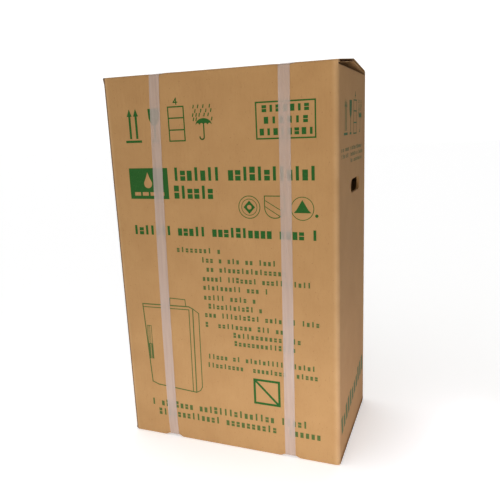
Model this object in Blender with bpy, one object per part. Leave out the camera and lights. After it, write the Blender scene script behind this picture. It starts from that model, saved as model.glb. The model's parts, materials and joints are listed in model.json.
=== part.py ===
"""A compact tankless gas water heater, packed upright in its strapped shipping carton.

Metres, +Z up. The carton's front panel faces -Y. The origin is the centre of the bottom face.
The carton is one sheet of corrugated board: a sleeve, four top flaps and four bottom flaps.
Two plastic straps go round it, and two foam caps hold the heater clear of the board.
"""

import math

import bmesh
import bpy
from mathutils import Matrix, Vector

# Fits and drawing
CLEAR = 0.0003  # gap between two pieces that touch
OVERRUN = 0.004  # how far a cutter runs past what it cuts
ROUND_SEGMENTS = 18
SMALL_SEGMENTS = 8
SMOOTH_ANGLE = math.radians(35)

# Carton, cut to fit the heater with foam on every side
SIDE_ROOM = 0.0385  # from the heater to the carton's outside
FACE_ROOM = 0.046
COLLAR_ROOM = 0.052  # from the vent collar's rim to the creases of the top flaps
BOARD = 0.005
FOLD_RADIUS = 0.0008  # inside of a folded corner
FOLD_STEPS = 4
GLUE_TAB = 0.035
RIDGE_RISE = 0.0125  # the packing lifts the seam of the top flaps above their creases
SEAM_GAP = 0.0012
SLOT_PLAY = 0.0015  # cut away beside an inner flap
HAND_HOLE_LENGTH = 0.084
HAND_HOLE_HEIGHT = 0.025
HAND_HOLE_Y = 0.024
HAND_HOLE_DROP = 0.2075  # below the top creases

# Straps
STRAP_WIDTH = 0.020
STRAP_THICKNESS = 0.0008
STRAP_BEND = 0.005  # how far a strap cuts the bottom corner
STRAP_BEND_STEPS = 5
STRAP_SIDE_PLAY = 0.0008
STRAP_CREASE_LENGTH = 0.003  # left free at the crease of an outer flap
LEFT_INSET_TOP = 0.1055  # from the carton's nearer side to the middle of a strap
LEFT_INSET_MIDDLE = 0.0935
LEFT_INSET_FOOT = 0.0900
RIGHT_INSET_TOP = 0.0870
RIGHT_INSET_MIDDLE = 0.0900
RIGHT_INSET_FOOT = 0.0927

# Heater casing, made round what it holds
HEATER_BASE = 0.080  # height of the casing above the floor
TRAY_GAP = 0.007  # from the casing's left side to the board tray
TRAY_TO_STACK = 0.044
RIGHT_ROOM = 0.033  # from the heat exchanger to the casing's right side
FRONT_ROOM = 0.044
BACK_ROOM = 0.020
SHEET = 0.001
COVER_DEPTH = 0.012
COVER_ROUND = 0.004
CASE_LIP = 0.010
BRACKET_THICKNESS = 0.002
BRACKET_LENGTH = 0.120
BRACKET_HEIGHT = 0.028
BRACKET_HOLE_RADIUS = 0.004
BRACKET_HOLE_SPACING = 0.080
BRACKET_INSET = 0.006
AIR_SLOT_LENGTH = 0.060
AIR_SLOT_WIDTH = 0.006
AIR_SLOT_PITCH = 0.014
AIR_SLOT_COUNT = 4
WINDOW_LEFT_SHARE = 0.05
WINDOW_RIGHT_SHARE = 0.14
WINDOW_BOTTOM_SHARE = 0.345
WINDOW_TOP_SHARE = 0.745
WINDOW_DEPTH = 0.007
WINDOW_LIP = 0.002

# Foam caps
FOAM_PLAY = 0.001  # to the board around it
BOTTOM_GRIP = 0.050  # how far a cap reaches along the heater
TOP_GRIP = 0.040
RIB_PITCH = 0.060
RIB_GROOVE = 0.022
RIB_DEPTH = 0.012
RIDGE_BLOCK_GAP = 0.0075  # to the inner flaps on each side
RIDGE_BLOCK_WIDTH = 0.040
WELL_RADIUS = 0.021
WELL_FLOOR = 0.020
PLUG_WELL_LENGTH = 0.040

# Exhaust and heat exchanger, one stack around a vertical centre line
STACK_WIDTH = 0.184
STACK_DEPTH = 0.106
STACK_WALL = 0.0012
STACK_CORNER = 0.003
COLLAR_RADIUS = 0.053
COLLAR_WALL = 0.0015
COLLAR_HEIGHT = 0.048
COLLAR_FLANGE = 0.011
GASKET_THICKNESS = 0.0015
HOOD_HEIGHT = 0.084
HOOD_SKIRT = 0.014
HOOD_NECK = 0.014
HOOD_NECK_RADIUS = 0.047
HOOD_SEGMENTS = 28
EXCHANGER_HEIGHT = 0.075
FIN_COUNT = 16
FIN_THICKNESS = 0.0009
FIN_HEIGHT = 0.058
WATER_TUBE_RADIUS = 0.007
TUBE_INSET = 0.023  # from the jacket's faces to the outer tubes
TUBE_STUB = 0.003
RISER_STUB = 0.024
CHAMBER_HEIGHT = 0.110
COIL_TUBE_RADIUS = 0.005
COIL_TURNS = 3
COIL_PITCH = 0.021
COIL_CORNER = 0.014
COIL_STEPS = 16
COIL_START = 0.016  # above the chamber's foot
COIL_TAIL = 0.026
PIPE_SIDES = 2

# Burner
BURNER_BOX_HEIGHT = 0.075
BURNER_COUNT = 8
BURNER_MARGIN = 0.015  # from the box's ends to the middle of the last bars
BURNER_WIDTH = 0.011
BURNER_TOP_WIDTH = 0.006
BURNER_HEADROOM = 0.027
BURNER_END_PLAY = 0.005
BURNER_RAIL = 0.008
PORT_COUNT = 6
PORT_WIDTH = 0.003
PORT_DEPTH = 0.007
NOZZLE_RADIUS = 0.0035
NOZZLE_REACH = 0.002
NOZZLE_HEIGHT = 0.020
MANIFOLD_RADIUS = 0.008
MANIFOLD_GAP = 0.008  # from the burner box to the manifold
MANIFOLD_OVERHANG = 0.006
ELECTRODE_RADIUS = 0.004
ELECTRODE_LENGTH = 0.020
ELECTRODE_ROD_RADIUS = 0.0012
ELECTRODE_REACH = 0.022
ELECTRODE_DROP = 0.012
ELECTRODE_OFFSET = 0.040  # from the middle of the box
IGNITER_WIDTH = 0.026
IGNITER_DEPTH = 0.044
IGNITER_HEIGHT = 0.034

# Fan
FAN_OFFSET = 0.025  # left of the middle of the stack
FAN_RISE = 0.084  # from the casing's floor to the shaft
FAN_NECK = 0.0885  # from the shaft up to the outlet's rim
FAN_DEPTH = 0.050
SCROLL_START = 0.048
SCROLL_END = 0.064
SCROLL_STEPS = 22
FAN_WALL = 0.0015
FAN_OUTLET = 0.050
FAN_INLET_RADIUS = 0.030
WHEEL_RADIUS = 0.040
WHEEL_BLADE_DEPTH = 0.007
WHEEL_BLADES = 22
WHEEL_BLADE_INSET = 0.0008
WHEEL_BLADE_THICKNESS = 0.0013
WHEEL_DISC = 0.002
WHEEL_LIP = 0.003
WHEEL_SIDE_PLAY = 0.004
HUB_RADIUS = 0.009
HUB_LENGTH = 0.016
SHAFT_RADIUS = 0.003
SHAFT_IN_MOTOR = 0.020
SHAFT_HOLE_RADIUS = 0.009
MOTOR_RADIUS = 0.027
MOTOR_PLAY = 0.0064  # to the casing's back
MOTOR_BOSS_RADIUS = 0.014
MOTOR_BOSS_LENGTH = 0.004

# Water and gas fittings
COLD_OFFSET = 0.068  # left of the stack
HOT_OFFSET = 0.018  # right of the stack
GAS_OFFSET = 0.019  # in from the stack's right side
FITTING_RADIUS = 0.0115
FITTING_BORE = 0.007
FITTING_DROP = 0.034
FITTING_FLANGE = 0.0018
FITTING_HEX = 0.006
FITTING_INSIDE = 0.030
PLUG_RADIUS = 0.007
PLUG_LENGTH = 0.010
PLUG_HEAD = 0.0025
PLUG_HEIGHT = 0.017  # above the fitting's lower end
SENSOR_RADIUS = 0.016
SENSOR_BORE = 0.012
SENSOR_LENGTH = 0.058
SPIDER_THICKNESS = 0.004
SPIDER_ARM = 0.003
SPIDER_BOSS = 0.0042
SPIDER_ARMS = 3
CAGE_RIM = 0.0015
TURBINE_RADIUS = 0.0105
TURBINE_HUB = 0.004
TURBINE_BLADES = 5
TURBINE_BLADE_WIDTH = 0.0018
TURBINE_TWIST = math.radians(50)
TURBINE_STEPS = 5
TURBINE_LENGTH = 0.024
AXLE_RADIUS = 0.0015
AXLE_PLAY = 0.0012
INLET_PIPE_RADIUS = 0.006
INLET_PIPE_BEND = 0.013
INLET_PIPE_RISE = 0.030
THERMISTOR_RADIUS = 0.004
THERMISTOR_LENGTH = 0.012
THERMISTOR_RISE = 0.089  # above the outlet's fitting
SWITCH_RADIUS = 0.008
SWITCH_THICKNESS = 0.006
SWITCH_OFFSET = 0.040  # right of the middle of the stack
VALVE_WIDTH = 0.050
VALVE_DEPTH = 0.036
VALVE_HEIGHT = 0.078
SOLENOID_RADIUS = 0.012
SOLENOID_LENGTH = 0.020
SOLENOID_SPACING = 0.034
VALVE_CAP_LENGTH = 0.006
BLOCK_ROUND = 0.0018

# Electronics
TRAY_RISE = 0.159  # above the casing's floor
TRAY_WIDTH = 0.082
TRAY_HEIGHT = 0.220
TRAY_DEPTH = 0.026
TRAY_WALL = 0.002
POST_RADIUS = 0.003
POST_HEIGHT = 0.008
POST_INSET = 0.010
CIRCUIT_BOARD = 0.0016
CIRCUIT_BOARD_PLAY = 0.0025
RELAY_WIDTH = 0.016
RELAY_DEPTH = 0.011
RELAY_HEIGHT = 0.020
RELAY_PITCH = 0.028
RELAY_COUNT = 5
CHIP_WIDTH = 0.020
CHIP_DEPTH = 0.003
CHIP_HEIGHT = 0.030
TERMINAL_WIDTH = 0.036
TERMINAL_DEPTH = 0.018
TERMINAL_HEIGHT = 0.022
TERMINAL_OFFSET = 0.040  # right of the cold inlet
TERMINAL_RISE = 0.020
TERMINAL_POLES = 3
TERMINAL_POLE_RADIUS = 0.003
TERMINAL_POLE_DEPTH = 0.006

# Worked out from the sizes above: first the heater from its inner pieces, then the carton round it
CASE_FLOOR = HEATER_BASE + SHEET
FAN_Z = CASE_FLOOR + FAN_RISE
FAN_TOP = FAN_Z + FAN_NECK
BURNER_FOOT = FAN_TOP + CLEAR
BURNER_TOP = BURNER_FOOT + BURNER_BOX_HEIGHT
CHAMBER_FOOT = BURNER_TOP + CLEAR
CHAMBER_TOP = CHAMBER_FOOT + CHAMBER_HEIGHT
EXCHANGER_FOOT = CHAMBER_TOP + CLEAR
EXCHANGER_TOP = EXCHANGER_FOOT + EXCHANGER_HEIGHT
TUBE_Z = (EXCHANGER_TOP + EXCHANGER_FOOT) / 2
HOOD_FOOT = EXCHANGER_TOP + CLEAR
HOOD_TOP = HOOD_FOOT + HOOD_HEIGHT
HEATER_TOP = HOOD_TOP + CLEAR + SHEET
HEATER_HEIGHT = HEATER_TOP - HEATER_BASE
HEATER_WIDTH = TRAY_GAP + TRAY_WIDTH + TRAY_TO_STACK + STACK_WIDTH + RIGHT_ROOM
HEATER_DEPTH = FRONT_ROOM + STACK_DEPTH + BACK_ROOM
COVER_FACE = -HEATER_DEPTH / 2
CASE_FRONT = COVER_FACE + COVER_DEPTH + CLEAR
CASE_BACK = HEATER_DEPTH / 2 - BRACKET_THICKNESS - CLEAR
TRAY_LEFT = -HEATER_WIDTH / 2 + TRAY_GAP
TRAY_FOOT = CASE_FLOOR + TRAY_RISE
STACK_LEFT = TRAY_LEFT + TRAY_WIDTH + TRAY_TO_STACK
STACK_RIGHT = STACK_LEFT + STACK_WIDTH
STACK_FRONT = COVER_FACE + FRONT_ROOM
STACK_BACK = STACK_FRONT + STACK_DEPTH
STACK_X = (STACK_LEFT + STACK_RIGHT) / 2
STACK_Y = (STACK_FRONT + STACK_BACK) / 2
TUBE_PITCH = STACK_DEPTH / 2 - TUBE_INSET
TUBE_ROWS = [STACK_Y - TUBE_PITCH, STACK_Y, STACK_Y + TUBE_PITCH]
STUB_LEFT = STACK_LEFT - TUBE_STUB
STUB_RIGHT = STACK_RIGHT + TUBE_STUB
RISER_X = STACK_LEFT - RISER_STUB / 2
COIL_REACH = COIL_TUBE_RADIUS + CLEAR
COIL_FOOT = CHAMBER_FOOT + COIL_START
COIL_TOP = COIL_FOOT + COIL_TURNS * COIL_PITCH
BURNER_PITCH = (STACK_WIDTH - 2 * BURNER_MARGIN) / (BURNER_COUNT - 1)
BURNER_HEIGHT = BURNER_BOX_HEIGHT - BURNER_HEADROOM
BURNER_LENGTH = STACK_DEPTH - 2 * BURNER_END_PLAY
NOZZLE_Z = BURNER_FOOT + NOZZLE_HEIGHT
MANIFOLD_Y = STACK_FRONT - MANIFOLD_GAP - MANIFOLD_RADIUS
SPARK_X = STACK_X - ELECTRODE_OFFSET
FLAME_X = STACK_X + ELECTRODE_OFFSET
SWITCH_X = STACK_X + SWITCH_OFFSET
FAN_X = STACK_X - FAN_OFFSET
FAN_FRONT = STACK_Y - FAN_DEPTH / 2
FAN_BACK = STACK_Y + FAN_DEPTH / 2
OUTLET_RIGHT = FAN_X + SCROLL_END
OUTLET_LEFT = OUTLET_RIGHT - FAN_OUTLET
MOTOR_LENGTH = CASE_BACK - SHEET - MOTOR_PLAY - MOTOR_BOSS_LENGTH - CLEAR - FAN_BACK
COLD_X = STACK_LEFT - COLD_OFFSET
COLD_Y = STACK_Y
HOT_X = STACK_RIGHT + HOT_OFFSET
HOT_Y = TUBE_ROWS[2]
GAS_X = STACK_RIGHT - GAS_OFFSET
TERMINAL_X = COLD_X + TERMINAL_OFFSET
FITTING_FOOT = HEATER_BASE - FITTING_DROP
FITTING_TOP = CASE_FLOOR + FITTING_INSIDE
THERMISTOR_HEIGHT = FITTING_TOP + THERMISTOR_RISE
SENSOR_FOOT = FITTING_TOP + CLEAR
SENSOR_TOP = SENSOR_FOOT + SENSOR_LENGTH
HALF_WIDTH = HEATER_WIDTH / 2 + SIDE_ROOM
HALF_DEPTH = HEATER_DEPTH / 2 + FACE_ROOM
CARTON_HEIGHT = HEATER_TOP + COLLAR_HEIGHT + COLLAR_ROOM
OUTER_FOLD = FOLD_RADIUS + BOARD
TENT = math.atan2(RIDGE_RISE, HALF_DEPTH)
TOP_FLAP_LENGTH = (HALF_DEPTH - SEAM_GAP / 2 - BOARD * math.sin(TENT)) / math.cos(TENT)
FRONT_WALL_TOP = CARTON_HEIGHT - BOARD - CLEAR
INNER_FLAP_TOP = FRONT_WALL_TOP
SIDE_WALL_TOP = INNER_FLAP_TOP - BOARD - CLEAR
FRONT_WALL_FOOT = BOARD + CLEAR
SIDE_WALL_FOOT = 2 * (BOARD + CLEAR)
INNER_HALF_WIDTH = HALF_WIDTH - BOARD
INNER_HALF_DEPTH = HALF_DEPTH - BOARD
INNER_FLAP_END = HALF_WIDTH - HALF_DEPTH
HAND_HOLE_Z = CARTON_HEIGHT - HAND_HOLE_DROP
FOAM_FOOT = SIDE_WALL_FOOT
FOAM_TOP = SIDE_WALL_TOP
BOTTOM_FOAM_TOP = HEATER_BASE + BOTTOM_GRIP
TOP_FOAM_BOTTOM = HEATER_TOP - TOP_GRIP
RIDGE_BLOCK_LENGTH = 2 * (INNER_FLAP_END - RIDGE_BLOCK_GAP)
LEFT_STRAP_TOP = LEFT_INSET_TOP - HALF_WIDTH
LEFT_STRAP_MIDDLE = LEFT_INSET_MIDDLE - HALF_WIDTH
LEFT_STRAP_FOOT = LEFT_INSET_FOOT - HALF_WIDTH
RIGHT_STRAP_TOP = HALF_WIDTH - RIGHT_INSET_TOP
RIGHT_STRAP_MIDDLE = HALF_WIDTH - RIGHT_INSET_MIDDLE
RIGHT_STRAP_FOOT = HALF_WIDTH - RIGHT_INSET_FOOT


def start_empty_scene():
    """Removes what the file holds, so that a second run gives the same model."""
    for old in list(bpy.data.objects):
        bpy.data.objects.remove(old, do_unlink=True)


def finish(name, colour, roughness, metallic=0.0):
    material = bpy.data.materials.new(name)
    material.use_nodes = True
    shader = material.node_tree.nodes["Principled BSDF"]
    shader.inputs["Base Color"].default_value = (*colour, 1.0)
    shader.inputs["Roughness"].default_value = roughness
    shader.inputs["Metallic"].default_value = metallic
    return material


# Shapes: each returns a closed mesh with its faces pointing out


def closed_mesh(points, faces):
    """A mesh from points and faces, with doubles merged and normals turned outwards."""
    mesh = bpy.data.meshes.new("shape")
    mesh.from_pydata(points, [], faces)
    bm = bmesh.new()
    bm.from_mesh(mesh)
    bmesh.ops.remove_doubles(bm, verts=bm.verts, dist=CLEAR / 1000)
    bmesh.ops.recalc_face_normals(bm, faces=bm.faces)
    bm.to_mesh(mesh)
    bm.free()
    return mesh


def stacked_rings(rings, closed=False):
    """Joins rings of as many points each, side by side. An open stack gets end caps."""
    count = len(rings[0])
    points = [point for ring in rings for point in ring]
    spans = len(rings) if closed else len(rings) - 1
    faces = []
    for row in range(spans):
        near = row * count
        far = (row + 1) % len(rings) * count
        for i in range(count):
            j = (i + 1) % count
            faces.append((near + i, near + j, far + j, far + i))
    if not closed:
        faces.append(tuple(range(count)))
        faces.append(tuple(range((len(rings) - 1) * count, len(rings) * count)))
    return closed_mesh(points, faces)


def in_space(axis, along, first, second):
    """A point from its place along an axis and its two other coordinates, in X, Y, Z order."""
    if axis == "X":
        return (along, first, second)
    if axis == "Y":
        return (first, along, second)
    return (first, second, along)


def prism(outline, axis, start, end):
    return stacked_rings([[in_space(axis, along, *p) for p in outline] for along in (start, end)])


def block(low, high):
    outline = [(low[0], low[1]), (high[0], low[1]), (high[0], high[1]), (low[0], high[1])]
    return prism(outline, "Z", low[2], high[2])


def circle(centre, radius, segments=ROUND_SEGMENTS):
    turns = [2 * math.pi * i / segments for i in range(segments)]
    return [(centre[0] + radius * math.cos(t), centre[1] + radius * math.sin(t)) for t in turns]


def rod(axis, centre, radius, start, end, segments=ROUND_SEGMENTS):
    return prism(circle(centre, radius, segments), axis, start, end)


def turned(profile, axis, centre, segments=ROUND_SEGMENTS):
    """Turns a closed profile of (radius, place along the axis) round an axis."""
    rings = []
    for i in range(segments):
        t = 2 * math.pi * i / segments
        rings.append(
            [
                in_space(axis, h, centre[0] + r * math.cos(t), centre[1] + r * math.sin(t))
                for r, h in profile
            ]
        )
    return stacked_rings(rings, closed=True)


def round_ended(centre, length, height, steps=8):
    """An outline with straight long sides and half-round ends."""
    radius = height / 2
    reach = length / 2 - radius
    outline = []
    for side, first in ((1, -math.pi / 2), (-1, math.pi / 2)):
        for i in range(steps + 1):
            t = first + math.pi * i / steps
            across = centre[0] + side * reach + radius * math.cos(t)
            outline.append((across, centre[1] + radius * math.sin(t)))
    return outline


def rounded_route(corners, bend, steps=5):
    """The points of a pipe through its corners, each turned into an arc."""
    corners = [Vector(c) for c in corners]
    route = [corners[0]]
    for before, corner, after in zip(corners, corners[1:], corners[2:]):
        arriving = (corner - before).normalized()
        leaving = (after - corner).normalized()
        turn = arriving.angle(leaving)
        inset = bend * math.tan(turn / 2)
        centre = corner + (leaving - arriving).normalized() * bend / math.cos(turn / 2)
        spoke = corner - arriving * inset - centre
        across = arriving.cross(leaving).normalized()
        for i in range(steps + 1):
            route.append(centre + Matrix.Rotation(turn * i / steps, 3, across) @ spoke)
    route.append(corners[-1])
    return route


# Objects: one for each piece


def cutter(mesh):
    tool = bpy.data.objects.new("tool", mesh)
    tool.hide_render = True
    tool.display_type = "WIRE"
    bpy.context.collection.objects.link(tool)
    return tool


def combine(piece, mesh, operation):
    step = piece.modifiers.new(operation.title(), "BOOLEAN")
    step.operation = operation
    step.solver = "EXACT"
    step.object = cutter(mesh)


def place(piece, carrier):
    """Hangs a piece on the empty that carries it, without moving it."""
    bpy.context.collection.objects.link(piece)
    if carrier is not None:
        piece.parent = carrier
        piece.matrix_parent_inverse = Matrix.Translation(-carrier.location)


def make(name, mesh, material, carrier=None, adds=(), cuts=(), bevel=0.0, smooth=True):
    """A named piece: its shape, then what is joined to it, then what is cut out of it."""
    mesh.name = name
    mesh.materials.append(material)
    if smooth:
        mesh.shade_smooth()
        mesh.set_sharp_from_angle(angle=SMOOTH_ANGLE)
    piece = bpy.data.objects.new(name, mesh)
    place(piece, carrier)
    if bevel:
        edges = piece.modifiers.new("Rounded edges", "BEVEL")
        edges.width = bevel
        edges.segments = 2
        edges.limit_method = "ANGLE"
    for other in adds:
        combine(piece, other, "UNION")
    for other in cuts:
        combine(piece, other, "DIFFERENCE")
    return piece


def make_pipe(name, route, radius, material, carrier):
    curve = bpy.data.curves.new(name, "CURVE")
    curve.dimensions = "3D"
    curve.bevel_depth = radius
    curve.bevel_resolution = PIPE_SIDES
    curve.use_fill_caps = True
    spline = curve.splines.new("POLY")
    spline.points.add(len(route) - 1)
    for spot, at in zip(spline.points, route):
        spot.co = (*at, 1.0)
    curve.materials.append(material)
    place(bpy.data.objects.new(name, curve), carrier)


def make_empty(name, location):
    empty = bpy.data.objects.new(name, None)
    empty.location = location
    bpy.context.collection.objects.link(empty)
    return empty


# Carton


def folded_outline():
    """The sleeve in plan: one sheet from the back panel's raw edge round to the glue tab."""
    tab_back = INNER_HALF_DEPTH - CLEAR
    corners = [
        (HALF_WIDTH - OUTER_FOLD, HALF_DEPTH - OUTER_FOLD, 90),
        (HALF_WIDTH - OUTER_FOLD, -HALF_DEPTH + OUTER_FOLD, 0),
        (-HALF_WIDTH + OUTER_FOLD, -HALF_DEPTH + OUTER_FOLD, -90),
        (-HALF_WIDTH + OUTER_FOLD, tab_back - OUTER_FOLD, -180),
    ]
    outside = [(-HALF_WIDTH, HALF_DEPTH)]
    inside = [(-HALF_WIDTH, INNER_HALF_DEPTH)]
    for x, y, first in corners:
        for i in range(FOLD_STEPS + 1):
            t = math.radians(first - 90 * i / FOLD_STEPS)
            outside.append((x + OUTER_FOLD * math.cos(t), y + OUTER_FOLD * math.sin(t)))
            inside.append((x + FOLD_RADIUS * math.cos(t), y + FOLD_RADIUS * math.sin(t)))
    outside.append((-HALF_WIDTH + GLUE_TAB, tab_back))
    inside.append((-HALF_WIDTH + GLUE_TAB, tab_back - BOARD))
    return outside + inside[::-1]


def make_sleeve(kraft):
    """The side panels stop one board lower than the front and back, under the inner flaps."""
    reach = HALF_WIDTH + OVERRUN
    depth = INNER_HALF_DEPTH - CLEAR / 2
    hand_hole = round_ended((HAND_HOLE_Y, HAND_HOLE_Z), HAND_HOLE_LENGTH, HAND_HOLE_HEIGHT)
    cuts = [
        block((-reach, -depth, SIDE_WALL_TOP), (reach, depth, FRONT_WALL_TOP + OVERRUN)),
        block((-reach, -depth, FRONT_WALL_FOOT - OVERRUN), (reach, depth, SIDE_WALL_FOOT)),
        prism(hand_hole, "X", -reach, reach),
    ]
    sleeve = prism(folded_outline(), "Z", FRONT_WALL_FOOT, FRONT_WALL_TOP)
    make("carton_sleeve", sleeve, kraft, cuts=cuts)


def outer_flap_outline(facing):
    """Side view of an outer top flap, from its crease up to the seam."""
    along = Vector((-facing * math.cos(TENT), math.sin(TENT))) * TOP_FLAP_LENGTH
    down = Vector((-facing * math.sin(TENT), -math.cos(TENT))) * BOARD
    corner = Vector((facing * HALF_DEPTH, CARTON_HEIGHT))
    return [tuple(point) for point in (corner, corner + down, corner + along + down, corner + along)]


def make_top_flaps(kraft, hinges):
    for name, facing in (("front", -1), ("back", 1)):
        flap = prism(outer_flap_outline(facing), "X", -HALF_WIDTH, HALF_WIDTH)
        make("top_flap_" + name, flap, kraft, hinges[name])


def make_inner_flaps(kraft):
    """The side panels' flaps lie inside the outer ones, and don't meet."""
    half = INNER_HALF_DEPTH - SLOT_PLAY
    levels = (("top", INNER_FLAP_TOP - BOARD), ("bottom", FRONT_WALL_FOOT))
    for level, low in levels:
        for name, side in (("left", -1), ("right", 1)):
            ends = sorted((side * HALF_WIDTH, side * INNER_FLAP_END))
            flap = block((ends[0], -half, low), (ends[1], half, low + BOARD))
            make(level + "_flap_" + name, flap, kraft)


def bottom_strap_path():
    """Side view of a strap's inner face under the carton, from the front corner to the back."""
    reach = HALF_DEPTH + CLEAR - STRAP_BEND
    height = STRAP_THICKNESS + STRAP_BEND
    stations = []
    for y, first in ((-reach, 180), (reach, 270)):
        for i in range(STRAP_BEND_STEPS + 1):
            t = math.radians(first + 90 * i / STRAP_BEND_STEPS)
            stations.append((Vector((y, height)), Vector((math.cos(t), math.sin(t)))))
    return stations


def make_bottom_flaps(kraft):
    """The straps bite into the corners and lie flush in grooves in the outer flaps."""
    inner_radius = STRAP_BEND - CLEAR
    corridor = [tuple(centre + normal * inner_radius) for centre, normal in bottom_strap_path()]
    outside = HALF_DEPTH + OVERRUN
    corridor.append((outside, STRAP_THICKNESS + STRAP_BEND))
    corridor.append((outside, -OVERRUN))
    corridor.append((-outside, -OVERRUN))
    corridor.append((-outside, STRAP_THICKNESS + STRAP_BEND))
    half = STRAP_WIDTH / 2 + STRAP_SIDE_PLAY
    length = HALF_DEPTH - SEAM_GAP / 2
    for name, side in (("front", -1), ("back", 1)):
        ends = sorted((side * HALF_DEPTH, side * (HALF_DEPTH - length)))
        flap = block((-HALF_WIDTH, ends[0], 0), (HALF_WIDTH, ends[1], BOARD))
        feet = (LEFT_STRAP_FOOT, RIGHT_STRAP_FOOT)
        grooves = [prism(corridor, "X", foot - half, foot + half) for foot in feet]
        make("bottom_flap_" + name, flap, kraft, cuts=grooves)


# Straps


def ribbon(stations):
    """A flat band through stations of (centre across, inner point, outward normal)."""
    rings = []
    for x, inner, normal in stations:
        outer = inner + normal * STRAP_THICKNESS
        left = x - STRAP_WIDTH / 2
        right = x + STRAP_WIDTH / 2
        ring = [(left, *inner), (right, *inner), (right, *outer), (left, *outer)]
        rings.append(ring)
    return stacked_rings(rings)


def wrap_stations(top, middle, foot):
    """Down the front, under the bottom and up the back, where the strap leans the same way."""
    high = CARTON_HEIGHT - STRAP_CREASE_LENGTH
    halfway = CARTON_HEIGHT / 2
    stations = []
    for x, z in ((top, high), (middle, halfway)):
        face = Vector((-HALF_DEPTH - CLEAR, z))
        stations.append((x, face, Vector((-1, 0))))
    for centre, normal in bottom_strap_path():
        stations.append((foot, centre + normal * STRAP_BEND, normal))
    for x, z in ((middle, halfway), (top, high)):
        face = Vector((HALF_DEPTH + CLEAR, z))
        stations.append((x, face, Vector((1, 0))))
    return stations


def tail_stations(x, facing):
    """Along an outer top flap, from just past its crease to the seam."""
    along = Vector((-facing * math.cos(TENT), math.sin(TENT)))
    normal = Vector((facing * math.sin(TENT), math.cos(TENT)))
    crease = Vector((facing * HALF_DEPTH, CARTON_HEIGHT)) + normal * CLEAR
    ends = (STRAP_CREASE_LENGTH, TOP_FLAP_LENGTH)
    return [(x, crease + along * distance, normal) for distance in ends]


def make_straps(film, hinges):
    straps = (
        ("left", LEFT_STRAP_TOP, LEFT_STRAP_MIDDLE, LEFT_STRAP_FOOT),
        ("right", RIGHT_STRAP_TOP, RIGHT_STRAP_MIDDLE, RIGHT_STRAP_FOOT),
    )
    for side, top, middle, foot in straps:
        name = "strap_" + side
        make(name + "_wrap", ribbon(wrap_stations(top, middle, foot)), film, smooth=False)
        for end, facing in (("front", -1), ("back", 1)):
            tail = ribbon(tail_stations(top, facing))
            make(name + "_" + end + "_tail", tail, film, hinges[end], smooth=False)


# Foam caps


def ribbed_outline():
    """A foam cap in plan, with upright grooves that save material all round."""
    half = (INNER_HALF_WIDTH - FOAM_PLAY, INNER_HALF_DEPTH - BOARD - CLEAR - FOAM_PLAY)
    outline = []
    sides = (((0, -1), (1, 0)), ((1, 0), (0, 1)), ((0, 1), (-1, 0)), ((-1, 0), (0, -1)))
    for outward, along in sides:
        face = Vector((outward[0] * half[0], outward[1] * half[1]))
        step = Vector(along)
        reach = abs(along[0]) * half[0] + abs(along[1]) * half[1]
        outline.append(tuple(face - step * reach))
        count = int((2 * reach - RIB_GROOVE) / RIB_PITCH)
        for i in range(count):
            at = (i - (count - 1) / 2) * RIB_PITCH
            deep = Vector(outward) * -RIB_DEPTH
            near = face + step * (at - RIB_GROOVE / 2)
            far = face + step * (at + RIB_GROOVE / 2)
            outline += [tuple(near), tuple(near + deep), tuple(far + deep), tuple(far)]
    return outline


def heater_pocket(low, high):
    x = HEATER_WIDTH / 2 + CLEAR
    y = HEATER_DEPTH / 2 + CLEAR
    return block((-x, -y, low), (x, y, high))


def make_foam(foam):
    """The lower cap has wells for the fittings. The upper one has a well for the vent collar
    and a block that stands between the inner flaps and carries the seam of the outer ones."""
    low_cuts = [heater_pocket(HEATER_BASE - CLEAR, BOTTOM_FOAM_TOP + OVERRUN)]
    for x, y in ((COLD_X, COLD_Y), (HOT_X, HOT_Y), (GAS_X, MANIFOLD_Y)):
        low_cuts.append(rod("Z", (x, y), WELL_RADIUS, WELL_FLOOR, HEATER_BASE, ROUND_SEGMENTS))
    for x, y in ((COLD_X, COLD_Y), (HOT_X, HOT_Y)):
        near = (x - WELL_RADIUS / 2, y - PLUG_WELL_LENGTH, FITTING_FOOT)
        far = (x + WELL_RADIUS / 2, y, HEATER_BASE)
        low_cuts.append(block(near, far))
    low_cap = prism(ribbed_outline(), "Z", FOAM_FOOT, BOTTOM_FOAM_TOP)
    make("bottom_foam_cap", low_cap, foam, cuts=low_cuts)
    slope = math.tan(TENT) * (HALF_DEPTH - RIDGE_BLOCK_WIDTH / 2)
    ridge_top = CARTON_HEIGHT + slope - BOARD / math.cos(TENT) - CLEAR
    ridge = block(
        (-RIDGE_BLOCK_LENGTH / 2, -RIDGE_BLOCK_WIDTH / 2, FOAM_TOP - OVERRUN),
        (RIDGE_BLOCK_LENGTH / 2, RIDGE_BLOCK_WIDTH / 2, ridge_top),
    )
    collar_room = COLLAR_RADIUS + COLLAR_FLANGE + FOAM_PLAY
    collar_top = HEATER_TOP + COLLAR_HEIGHT + OVERRUN
    high_cuts = [
        heater_pocket(TOP_FOAM_BOTTOM - OVERRUN, HEATER_TOP + CLEAR),
        rod("Z", (STACK_X, STACK_Y), collar_room, HEATER_TOP, collar_top),
    ]
    high_cap = prism(ribbed_outline(), "Z", TOP_FOAM_BOTTOM, FOAM_TOP)
    make("top_foam_cap", high_cap, foam, adds=[ridge], cuts=high_cuts)


# Heater casing


def window_box():
    left = HEATER_WIDTH * (WINDOW_LEFT_SHARE - 1 / 2)
    right = HEATER_WIDTH * (WINDOW_RIGHT_SHARE - 1 / 2)
    low = HEATER_BASE + HEATER_HEIGHT * WINDOW_BOTTOM_SHARE
    high = HEATER_BASE + HEATER_HEIGHT * WINDOW_TOP_SHARE
    return left, right, low, high


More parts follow.
